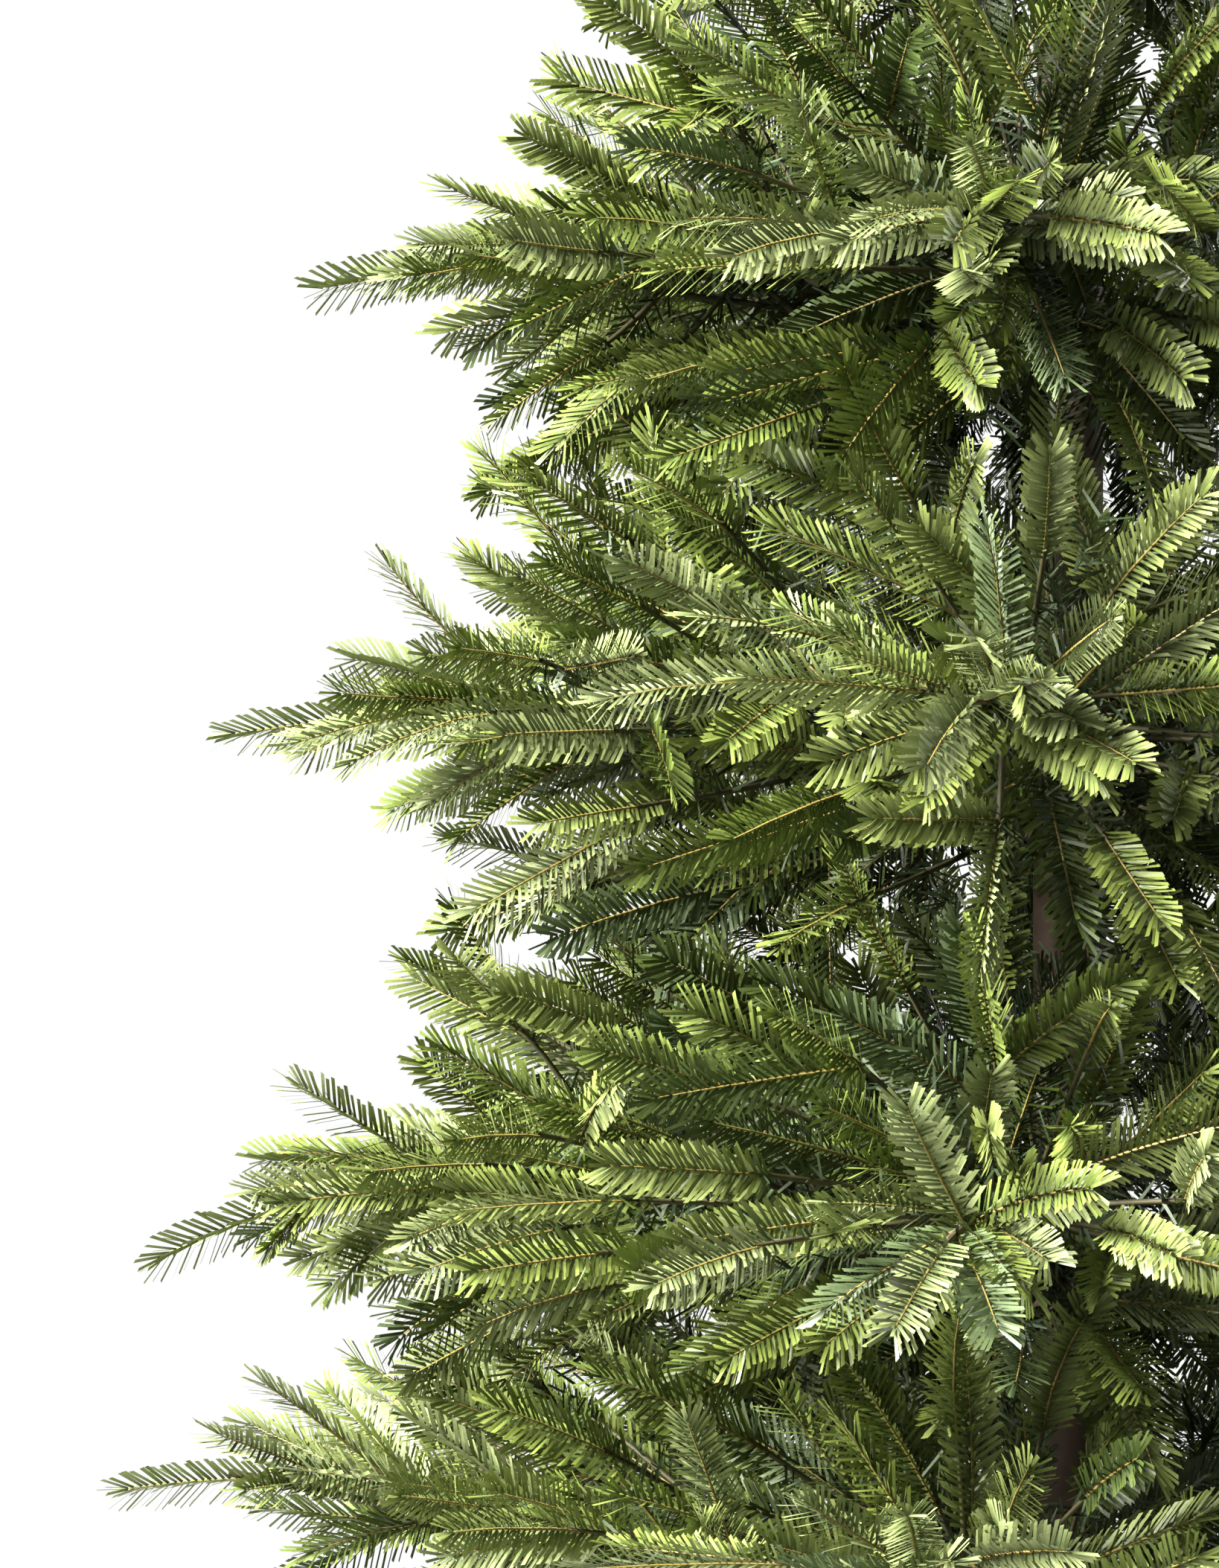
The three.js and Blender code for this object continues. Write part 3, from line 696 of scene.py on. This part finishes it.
# Sprigs near a bough's tip: the side, or 0 for above and below, the distance back, and the spread.
END_SPRIGS = [(1, 0.105, 27), (-1, 0.125, 33), (1, 0.15, 36), (-1, 0.17, 34), (0, 0.13, 26), (0, 0.16, -30)]
# Rings of four sprigs near the leader's tip: the distance below it, the rise, and the length.
LEADER_RINGS = [(0.19, 55, 0.085), (0.16, 62, 0.08), (0.13, 68, 0.075), (0.104, 73, 0.06)]


def row_height(tier, distance):
    """The height of a row's boughs at a distance from the pole. The leader counts as the row on top."""
    lift = TIERS[tier][2] if tier < len(TIERS) else LEADER_LIFT
    reach = tier_reach(tier) if tier < len(TIERS) else crown_reach(tier_height(tier))
    share = distance / reach
    return tier_height(tier) + reach * (lift * share + 2 * BOUGH_BOW * share * (1 - share))


def border(tier, distance):
    """The height halfway between a row and the next one up, at a distance from the pole."""
    return (row_height(tier, distance) + row_height(tier + 1, distance)) / 2


def in_space_of(bough, point):
    """Whether a point is in a bough's slice of its row, halfway to the rows above and below."""
    distance = math.hypot(point[0], point[1])
    off_row = abs(point[2] - row_height(bough.tier, distance)) / TIER_SPACING
    limit = crown_reach(point[2]) * (EDGE_BETWEEN_ROWS + EDGE_AT_ROW * max(0, 1 - off_row / ROW_HALF))
    if distance < POLE_CLEARANCE or point[2] < LOWEST_FOLIAGE or distance > limit:
        return False
    off = (math.degrees(math.atan2(point[1], point[0])) - bough.middle + 180) % 360 - 180
    if abs(off) > bough.half_slice * SLICE_OVERLAP:
        return False
    floor = border(bough.tier - 1, distance) if bough.tier > 0 else LOWEST_FOLIAGE + MINGLING
    return floor - MINGLING < point[2] < border(bough.tier, distance) + MINGLING


def space_of(bough):
    """The test that a point is in a bough's space."""
    return lambda point: in_space_of(bough, point)


def in_leader_space(point):
    """Whether a point is in the top of the crown, round the leader."""
    distance = math.hypot(point[0], point[1])
    limit = LEADER_EDGE * crown_reach(point[2]) + POLE_CLEARANCE
    return border(len(TIERS) - 1, distance) - MINGLING < point[2] <= TREE_HEIGHT and distance < limit


up = np.array([0, 0, 1.0])
dice = np.random.default_rng(SEED)
twig_lines = []
twig_radii = []
sprigs = []  # root, way, face, length and how far out on the crown each one is
middles = {}  # the sprigs' middles, by the cell of the crown that they are in


def cell_of(place):
    """The cell of the crown that a place is in."""
    return tuple(int(v // INNER_ROOM) for v in place)


def crowded(place, room):
    """Whether a sprig's middle is already nearer to a place than the room it should have."""
    a, b, c = cell_of(place)
    nearby = [(i, j, k) for i in (a - 1, a, a + 1) for j in (b - 1, b, b + 1) for k in (c - 1, c, c + 1)]
    for cell in nearby:
        for x, y, z in middles.get(cell, ()):
            if (x - place[0]) ** 2 + (y - place[1]) ** 2 + (z - place[2]) ** 2 < room**2:
                return True
    return False


def outwards(point):
    """The level direction from the pole to a point."""
    return np.array([point[0], point[1], 0]) / max(math.hypot(point[0], point[1]), 0.02)


def square_to(way, face):
    """The direction of a face, made square to a way."""
    return unit(face - way * face.dot(way))


def add_sprig(root, way, face, length, in_space):
    """Adds a sprig where its tip keeps to its space, shortened if it must be, facing up and outwards."""
    way = unit(way)
    face = 0.35 * unit(face) + 0.7 * outwards(root) + dice.normal(0, 0.75, 3)
    for _ in range(3):
        tip = root + way * length
        if in_space(tip):
            out = math.hypot(tip[0], tip[1]) / max(crown_reach(tip[2]), 0.05)
            middle = root + SPRIG_MIDDLE * length * way
            slim = 0.7 + 0.3 * crown_reach(middle[2]) / CROWN_REACH
            if crowded(middle, slim * (SPRIG_ROOM if out > OUTER_SHELL else INNER_ROOM)):
                return False
            middles.setdefault(cell_of(middle), []).append(tuple(middle))
            sprigs.append((root, way, square_to(way, face), length, min(out, 1.2)))
            return True
        length *= 0.88
    return False


def clothe_twig(root, heading, pull, face, length, in_space):
    """Puts a sprig on a twig's end and, where that has room, adds the twig's wire and side sprigs."""

    def way_at(share):
        return unit(heading + share * pull)

    def point_at(share):
        return root + length * (share * heading + 0.5 * share**2 * pull)

    if length < 1.25 * SPRIG_LENGTH:
        return add_sprig(root, way_at(0.4), face, min(length, SPRIG_LENGTH * 1.1), in_space)
    end = 1 - SPRIG_LENGTH / length
    end_length = SPRIG_LENGTH * dice.uniform(0.95, 1.1)
    if not add_sprig(point_at(end), way_at(0.4 + 0.6 * end), face, end_length, in_space):
        return False
    twig_lines.append(np.array([point_at(s) for s in np.linspace(0, min(end + 0.06, 1), TWIG_STEPS)]))
    twig_radii.append(np.linspace(TWIG_RADIUS, TWIG_TIP_RADIUS, TWIG_STEPS))
    side = 1 if dice.random() < 0.5 else -1
    distance = length - SPRIG_LENGTH + dice.uniform(-0.004, 0.008)
    while distance > 0.016:
        share = distance / length
        way = way_at(share)
        across = unit(np.cross(face, way))
        angle = math.radians(dice.uniform(37, 56))
        rise = dice.normal(0.06, 0.36)
        sprig_way = math.cos(angle) * way + math.sin(angle) * side * across + rise * unit(face)
        sprig_way = unit(sprig_way) + 0.24 * outwards(point_at(share))
        tilt = unit(face) + 0.35 * dice.normal(0, 1, 3)
        add_sprig(point_at(share), sprig_way, tilt, SPRIG_LENGTH * dice.uniform(0.78, 1.02), in_space)
        side = -side
        distance -= SPRIG_SPACING * dice.uniform(0.8, 1.2)
    return True


def grow_twig(root, heading, along, face, length, in_space):
    """A twig that bends from its heading towards its bough's way and droops, kept to its space."""
    heading = unit(heading)
    bend = dice.uniform(0.03, 0.14)
    for _ in range(9):
        pull = 0.55 * along + 0.3 * outwards(root) - DROOP + dice.normal(0, 0.07, 3)
        tip = root + length * (heading + 0.5 * pull)
        halfway = root + length * (0.5 * heading + 0.125 * pull)
        if in_space(tip) and in_space(halfway):
            return clothe_twig(root, heading, pull, face, length, in_space)
        heading = unit(heading + bend * along)
        length *= 0.91
        if length < SHORTEST_TWIG:
            return False
    return False


# Twigs all round every bough, then the sprigs at its tip.
for bough in boughs:
    distance = FIRST_TWIG
    number = 0
    while distance < bough.length - LAST_TWIG:
        share = distance / bough.length
        along = bough.along(share)
        left = unit(np.cross(up, along))
        over = np.cross(along, left)
        angle = math.radians(TWIG_TURN * number + 90 * (bough.index % 2) + dice.uniform(-14, 14))
        out = math.cos(angle) * left + math.sin(angle) * over
        lean = math.radians(ROOT_LEAN + (END_LEAN - ROOT_LEAN) * share)
        heading = math.cos(lean) * along + math.sin(lean) * out
        face = unit(over + 0.5 * math.sin(angle) * -along + dice.normal(0, 0.25, 3))
        length = (TWIG_REACH * (bough.length - distance) + TWIG_EXTRA) * dice.uniform(0.86, 1.08)
        if distance < CORE_REACH and number % 2:
            length = dice.uniform(0.1, 0.14)
            heading = heading + 0.3 * math.copysign(1, out[2]) * up
        grow_twig(bough.at(share), heading, along, face, length, space_of(bough))
        number += 1
        distance += TWIG_SPACING * dice.uniform(0.85, 1.15)

    end = bough.at(1 - 1.02 * SPRIG_LENGTH / bough.length)
    length = np.linalg.norm(bough.tip - end)
    way = unit(bough.tip - end)
    face = up + (0.8 if bough.index % 2 else -0.8) * np.cross(up, way) + dice.normal(0, 0.2, 3)
    sprigs.append((end, way, square_to(way, face), length, 1.1))
    for side, back, spread in END_SPRIGS:
        share = 1 - back / bough.length
        along = bough.along(share)
        left = unit(np.cross(up, along))
        turned_to = side * left if side else np.cross(along, left)
        spread = math.radians(spread + dice.uniform(-6, 6))
        way = unit(math.cos(spread) * along + math.sin(spread) * (turned_to + 0.25 * dice.normal(0, 1, 3)))
        face = unit(up + dice.normal(0, 0.5, 3))
        length = SPRIG_LENGTH * dice.uniform(0.88, 1.02)
        sprigs.append((bough.at(share), way, square_to(way, face), length, 1.05))

# Twigs round the leader.
number = 0
height = POLE_TOP + 0.012
while height < TREE_HEIGHT - LEADER_BARE:
    share = (height - POLE_TOP) / (TREE_HEIGHT - LEADER_BARE - POLE_TOP)
    rise = math.radians(8 + 46 * share)
    direction = TWIG_TURN * number + dice.uniform(-12, 12)
    heading = placed(direction, math.cos(rise), math.sin(rise))
    face = placed(direction, -math.sin(rise), math.cos(rise), dice.normal(0, 0.3))
    length = max((crown_reach(height + 0.07) + 0.008) / math.cos(rise), 0.085) * dice.uniform(0.7, 1.04)
    grow_twig(np.array([0, 0, height]), heading, heading + 0.35 * up, face, length, in_leader_space)
    number += 1
    height += LEADER_SPACING * dice.uniform(0.85, 1.15)

# Open places in the crown, each filled by a twig that is bent over from the nearest bough or the leader.
for _ in range(OPEN_PLACES):
    height = dice.uniform(LOWEST_FOLIAGE, TREE_HEIGHT - LEADER_BARE)
    direction = dice.uniform(0, 360)
    out_share = dice.uniform(0.1, 0.92)
    place = placed(direction, crown_reach(height) * out_share, height)
    if crowded(place, OPEN_ROOM):
        continue
    distance = math.hypot(place[0], place[1])
    if in_leader_space(place):
        foot = max(height - distance * math.tan(math.radians(dice.uniform(5, 40))), POLE_TOP + 0.01)
        root = np.array([0, 0, foot])
        heading = unit(place - root)
        length = np.linalg.norm(place - root) + PAST_MIDDLE
        face = placed(direction, -heading[2], max(distance, 0.02), dice.normal(0, 0.3))
        clothe_twig(root, heading, np.zeros(3), face, length, in_leader_space)
        continue
    tier = sum(height > border(lower, distance) for lower in range(len(TIERS) - 1))
    row = [b for b in boughs if b.tier == tier]
    bough = min(row, key=lambda b: abs((direction - b.middle + 180) % 360 - 180))
    if not in_space_of(bough, place):
        continue
    line = bough.at(np.linspace(0.05, 0.92, 24)[:, None])
    ways = unit(np.gradient(line, axis=0))
    leans = np.degrees(np.arccos(np.sum(unit(place - line) * ways, axis=1)))
    nearest = np.argsort(np.abs(leans - dice.uniform(36, 60) - 30 * max(0, 1 - out_share / 0.4)))
    for step in nearest[:10:3]:
        root, along = line[step], ways[step]
        pull = 0.5 * along + 0.45 * outwards(place) - DROOP
        length = np.linalg.norm(place - root) + PAST_MIDDLE
        middle = 1 - PAST_MIDDLE / length
        heading = (place - root) / (length * middle) - 0.5 * middle * pull
        over = np.cross(along, unit(np.cross(up, along)))
        face = unit(over - 0.4 * unit(heading)[2] * along + dice.normal(0, 0.25, 3))
        if clothe_twig(root, heading, pull, face, length, space_of(bough)):
            break

# The sprigs that close the top.
for ring, (below, rise, ring_length) in enumerate(LEADER_RINGS):
    for number in range(4):
        direction = 90 * number + 45 * ring + dice.uniform(-12, 12)
        rise_angle = math.radians(rise + dice.uniform(-4, 4))
        root = np.array([0, 0, TREE_HEIGHT - below])
        way = placed(direction, math.cos(rise_angle), math.sin(rise_angle))
        face = placed(direction, -math.sin(rise_angle), math.cos(rise_angle))
        sprigs.append((root, way, face, ring_length * dice.uniform(0.92, 1.05), 1.05))
sprigs.append((np.array([0, 0, TREE_HEIGHT - 0.1]), up, np.array([0, -1.0, 0]), 0.09, 1.1))

twig_wire = Finish("twig_wire", Metallic=0.0, IOR=1.45)
grain = twig_wire.noise(260, 3)
twig_wire = twig_wire.wear(
    twig_wire.mixed(grain, (0.03, 0.03, 0.01), (0.065, 0.055, 0.02)), 0.55 + 0.2 * grain, grain, 0.0003)
twig_points, twig_faces = tubes(np.array(twig_lines), np.array(twig_radii), 4)
twigs = mesh_piece("twigs", twig_points, twig_faces, twig_wire, True)

# Sprigs of needles
# Each sprig is moulded in one piece: a thin stem, tinted orange brown, with five ranks of flat blunt
# needles that sweep forward and close up towards the tip, in greens from pale yellow green to dull blue.
# The
# greens are painted light and shade: palest on the outside of the crown, darker inwards; the blue ones fall
# at random.

STATIONS = 27
NEEDLE_LENGTH = 0.0158
NEEDLE_HALF = 0.00084
# The ranks: two a little under the stem, two over it, and one that stands up on it.
RANKS = 5
RANK_SIDE = np.array([1, -1, 1, -1, 1])
RANK_RISE = np.radians([-29, -29, 25, 25, 78])
RANK_CLOSER = np.array([0, 0, 4, 4, 17])
RANK_SIZE = np.array([1, 1, 0.95, 0.95, 0.72])
RANK_ROLL = np.array([0.45, -0.45, 0.45, -0.45, 0])
STANDING_RANK = 4
# The dark green at the needles' foot: partly the moulding's own darker tone, partly painted shade where the
# needles crowd at the stem.
NEEDLE_FOOT_TONE_AND_SHADE = (0.015, 0.027, 0.003)
GREENS = {
    "needles_outer_lit": ((0.188, 0.227, 0.083), (0.225, 0.267, 0.115)),
    "needles_bright": ((0.17, 0.213, 0.051), (0.205, 0.249, 0.073)),
    "needles_grass": ((0.143, 0.188, 0.033), (0.175, 0.224, 0.048)),
    "needles_middle": ((0.097, 0.136, 0.02), (0.128, 0.172, 0.03)),
    "needles_inner_shaded": ((0.034, 0.053, 0.008), (0.055, 0.081, 0.013)),
    "needles_blue": ((0.071, 0.102, 0.041), (0.098, 0.135, 0.057)),
}
# Shares of the sprigs, from the inside of the crown out, at which the inner shaded, middle, grass and
# bright greens end: painted shade inside the crown, painted light on its outside.
GREEN_LIMITS = [0.24, 0.45, 0.64, 0.83]
BLUE_SHARE = 0.08
STEM_SHARES = np.array([0, 0.35, 0.7, 0.97])
STEM_RADII = np.array([0.0009, 0.0008, 0.0006, 0.0003])

roots, ways, tops, lengths, outness = (np.array(column) for column in zip(*sprigs))
count = len(sprigs)
sides_of = np.cross(tops, ways)
arch = dice.normal(-0.03, 0.06, (count, 1)) * tops + dice.normal(0, 0.05, (count, 1)) * sides_of
arch[:, 2] -= 0.05


def stem_point(share):
    """Points on every sprig's stem, which arches a little."""
    return roots[:, None] + lengths[:, None, None] * (share * ways[:, None] + share**2 * arch[:, None])


station = np.linspace(0.05, 0.985, STATIONS)[None, :, None]
centre = stem_point(station)
way = unit(ways[:, None] + 2 * station * arch[:, None])
side = unit(np.cross(tops[:, None], way))
top = np.cross(way, side)
way, side, top = way[:, :, None], side[:, :, None], top[:, :, None]

# Each needle's rise round the stem, its sweep along it, its length, and the roll of its flat face.
shape = (count, STATIONS, RANKS)
rise = RANK_RISE + dice.normal(0, 0.09, shape)
rise[:, ::4, STANDING_RANK] += np.radians(24)
closing = np.clip((station - 0.83) / 0.17, 0, 1) ** 1.4
sweep = np.radians(59 - 7 * station - 23 * closing - RANK_CLOSER) + dice.normal(0, 0.04, shape)
size = (lengths / SPRIG_LENGTH)[:, None, None] ** 0.5
swell = 0.84 + 0.18 * np.sin(math.pi * np.clip(0.15 + 0.7 * station, 0, 1)) - 0.1 * closing
reach = (NEEDLE_LENGTH * size * swell * RANK_SIZE * dice.normal(1, 0.05, shape))[..., None]
outward = np.cos(rise)[..., None] * RANK_SIDE[:, None] * side + np.sin(rise)[..., None] * top
pointing = np.cos(sweep)[..., None] * way + np.sin(sweep)[..., None] * outward
flat = unit(np.cross(pointing, top))
roll = (RANK_ROLL + dice.normal(0, 0.22, shape))[..., None]
flat = np.cos(roll) * flat + np.sin(roll) * np.cross(pointing, flat)
stagger = dice.uniform(-0.14, 0.14, shape)[..., None] * (lengths / STATIONS)[:, None, None, None] * way
foot = centre[:, :, None] + stagger + 0.0006 * outward
curl = pointing + 0.06 * way
half = NEEDLE_HALF * dice.normal(1, 0.08, shape)[..., None]
corners = np.stack([
    foot + 0.75 * half * flat,
    foot - 0.75 * half * flat,
    foot + 0.92 * reach * curl - half * flat,
    foot + reach * curl + 0.75 * half * flat,
], axis=3)
# The standing rank has needles at every second station only.
in_ranks = np.ones((STATIONS, RANKS), dtype=bool)
in_ranks[1::2, STANDING_RANK] = False
corners = corners[:, in_ranks]


def needle_green(name, shade, tint):
    """Moulded plastic in one green, with a soft sheen, a cloudy tone, and needles darker at the foot, in
    part painted shade.
    """
    finish = Finish(name, Metallic=0.0, IOR=1.46, Specular_IOR_Level=0.42)
    cloud = finish.noise(55, 2)
    speck = finish.noise(700, 2)
    out = finish.node("ShaderNodeAttribute", {"attribute_name": "out"}, {}, "Fac")
    green = finish.mixed(cloud.above(0.5, 0.2), shade, tint)
    # Darker towards each needle's foot: partly moulded two-tone, partly painted shade.
    base = finish.mixed(0.75, green, NEEDLE_FOOT_TONE_AND_SHADE)
    return finish.wear(finish.mixed(out, base, green), 0.4 + 0.2 * speck, speck, 0.0002)


# Sprigs deeper inside the crown get darker greens as painted shade, and the outermost the palest as painted
# light.
order = np.argsort(outness + dice.normal(0, 0.2, count))
bluish = dice.random(count) < BLUE_SHARE
ranking = np.empty(count)
ranking[order] = np.arange(count) / count
tone = len(GREEN_LIMITS) - np.searchsorted(GREEN_LIMITS, ranking)
tone[bluish] = list(GREENS).index("needles_blue")

foliage_nodes = [f"foliage_row_{b.tier + 1}_{b.index + 1}" for b in boughs] + ["foliage_leader"]
for kind, (name, (shade, tint)) in enumerate(GREENS.items()):
    points = corners[tone == kind].reshape(-1, 3)
    faces = np.arange(len(points)).reshape(-1, 4)
    needles = mesh_piece(name, points, faces, needle_green(name, shade, tint))
    out = needles.data.attributes.new("out", "FLOAT", "POINT")
    out.data.foreach_set("value", np.tile(np.array([0, 0, 1, 1], dtype=np.float32), len(faces)))
    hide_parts(*foliage_nodes)

sprig_stem = Finish("sprig_stem", Metallic=0.0, IOR=1.46)
tinge = sprig_stem.noise(90, 2)
sprig_stem = sprig_stem.wear(
    sprig_stem.mixed(tinge, (0.13, 0.11, 0.025), (0.22, 0.16, 0.04)), 0.45 + 0.15 * tinge, tinge, 0.0002)
stem_lines = stem_point(STEM_SHARES[None, :, None])
stem_points, stem_faces = tubes(stem_lines, np.broadcast_to(STEM_RADII, (count, len(STEM_RADII))), 3)
stems = mesh_piece("sprig_stems", stem_points, stem_faces, sprig_stem, True)

# Inner needles
# Round the inner part of every bough and twig, and round short wires near the pole, a strip of thin dark
# green film is twisted into the wire. It is cut into fine needles that fill the inside of the crown.

SHORT_WIRES = 18
SHORT_WIRE_SPACING = 0.0115
PER_SHORT_WIRE = 48
PER_METRE_OF_BOUGH = 1200
PER_METRE_OF_TWIG = 255
FILM_HALF = 0.00075
FILM_TIP_HALF = 0.00055

# The film's own dark green, made near black as painted shade of the crown's inside.
film = Finish("film_green_shaded", Metallic=0.0, IOR=1.5)
film_cloud = film.noise(60, 2)
film = film.wear(
    film.mixed(film_cloud, (0.015, 0.029, 0.009), (0.035, 0.06, 0.016)), 0.5 + 0.2 * film_cloud)

short_wires = []
for bough in boughs:
    for number in range(SHORT_WIRES):
        share = (0.012 + SHORT_WIRE_SPACING * number) / bough.length
        if share > 0.6:
            break
        along = bough.along(share)
        left = unit(np.cross(up, along))
        angle = math.radians(TWIG_TURN * (number + 0.5) + dice.uniform(-20, 20))
        heading = 0.35 * along + math.cos(angle) * left + math.sin(angle) * np.cross(along, left)
        length = dice.uniform(0.085, 0.125)
        for _ in range(6):
            line = bough.at(share) + np.linspace(0, length, TWIG_STEPS)[:, None] * unit(heading)
            end = line[-1]
            if in_space_of(bough, end) and math.hypot(end[0], end[1]) < 0.64 * crown_reach(end[2]):
                short_wires.append(line)
                break
            heading = heading + 0.15 * along
            length *= 0.85

starts = []
directions = []


def twist_in(line, number):
    """Inner needles at random places on a wire."""
    for _ in range(number):
        share = dice.uniform(0.0, 0.999) * (TWIG_STEPS - 1)
        step = int(share)
        starts.append(line[step] + (line[step + 1] - line[step]) * (share - step))
        directions.append(line[step + 1] - line[step])


for line in short_wires:
    twist_in(line, PER_SHORT_WIRE)
for bough in boughs:
    for _ in range(int(PER_METRE_OF_BOUGH * bough.length)):
        share = dice.uniform(0.02, 0.66)
        starts.append(bough.at(share))
        directions.append(bough.along(share))
for line in twig_lines:
    twist_in(line, int(PER_METRE_OF_TWIG * np.linalg.norm(line[-1] - line[0])))
starts = np.array(starts)
directions = unit(np.array(directions))
spin = unit(np.cross(directions, dice.normal(0, 1, starts.shape)))
lean = np.radians(dice.normal(58, 9, (len(starts), 1)))
pointing = np.cos(lean) * directions + np.sin(lean) * spin
flat = unit(np.cross(pointing, dice.normal(0, 1, starts.shape)))
reach = dice.uniform(0.015, 0.024, (len(starts), 1))
reach *= 1 - 0.5 * np.clip(np.hypot(starts[:, :1], starts[:, 1:2]) / 0.3, 0, 1)
film_points = np.stack([
    starts + FILM_HALF * flat,
    starts - FILM_HALF * flat,
    starts + reach * pointing - FILM_TIP_HALF * flat,
    starts + reach * pointing + FILM_TIP_HALF * flat,
], axis=1)
film_faces = np.arange(len(starts) * 4).reshape(-1, 4)
inner = mesh_piece("inner_needles", film_points.reshape(-1, 3), film_faces, film)
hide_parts(*foliage_nodes)

# Floor, light and camera
# A pale round floor in a white room, a broad soft light high on the left in front, a weaker one behind on
# the right, and a camera at the height of the crown's lower half, which looks at its left side.

FLOOR_RADIUS = 2.2
ROOM_LIGHT = 0.07
CAMERA_PLACE = (0, -2.6, 0.72)
CAMERA_TARGET = (-0.202, 0, 0.696)
CAMERA_LENS = 136

select_none()
bpy.ops.mesh.primitive_circle_add(
    vertices=96, radius=FLOOR_RADIUS, fill_type="NGON", location=(0, 0, -0.0005))
floor = bpy.context.object
floor.name = "floor"
floor_finish = Finish("floor_white", Metallic=0.0)
floor_colour = floor_finish.mixed(floor_finish.noise(3), (0.25, 0.25, 0.246), (0.28, 0.28, 0.276))
floor.data.materials.append(floor_finish.wear(floor_colour, 0.6 + 0.1 * floor_finish.noise(30)))

scene = bpy.context.scene
scene.view_settings.view_transform = "Standard"
room = bpy.data.worlds.new("white_room")
room.use_nodes = True
wall = room.node_tree.nodes["Background"]
wall.inputs["Color"].default_value = (1, 1, 1, 1)
seen = room.node_tree.nodes.new("ShaderNodeLightPath")
strength = room.node_tree.nodes.new("ShaderNodeMapRange")
strength.inputs["To Min"].default_value = ROOM_LIGHT
strength.inputs["To Max"].default_value = 1.0
room.node_tree.links.new(seen.outputs["Is Camera Ray"], strength.inputs["Value"])
room.node_tree.links.new(strength.outputs["Result"], wall.inputs["Strength"])
scene.world = room


def aimed(thing, target):
    """Turns a light or the camera to look at a point."""
    way = np.array(target) - np.array(thing.location)
    thing.rotation_euler = (
        math.acos(-way[2] / np.linalg.norm(way)), 0, math.atan2(way[1], way[0]) - math.pi / 2)


def soft_light(place, target, size, power, colour):
    """A square area light."""
    select_none()
    bpy.ops.object.light_add(type="AREA", location=place)
    light = bpy.context.object
    light.data.size = size
    light.data.energy = power
    light.data.color = colour
    aimed(light, target)


soft_light(place=(-3.7, -1.7, 3.1), target=(0, 0, 0.8), size=1.8, power=2240, colour=(1.0, 0.98, 0.93))
soft_light(place=(3.5, 2.7, 2.6), target=(0, 0, 0.9), size=2.6, power=1000, colour=(0.97, 0.99, 1.0))
bpy.ops.object.camera_add(location=CAMERA_PLACE)
camera = bpy.context.object
camera.data.lens = CAMERA_LENS
camera.data.sensor_width = 36
camera.data.clip_end = 50
aimed(camera, CAMERA_TARGET)
scene.camera = camera
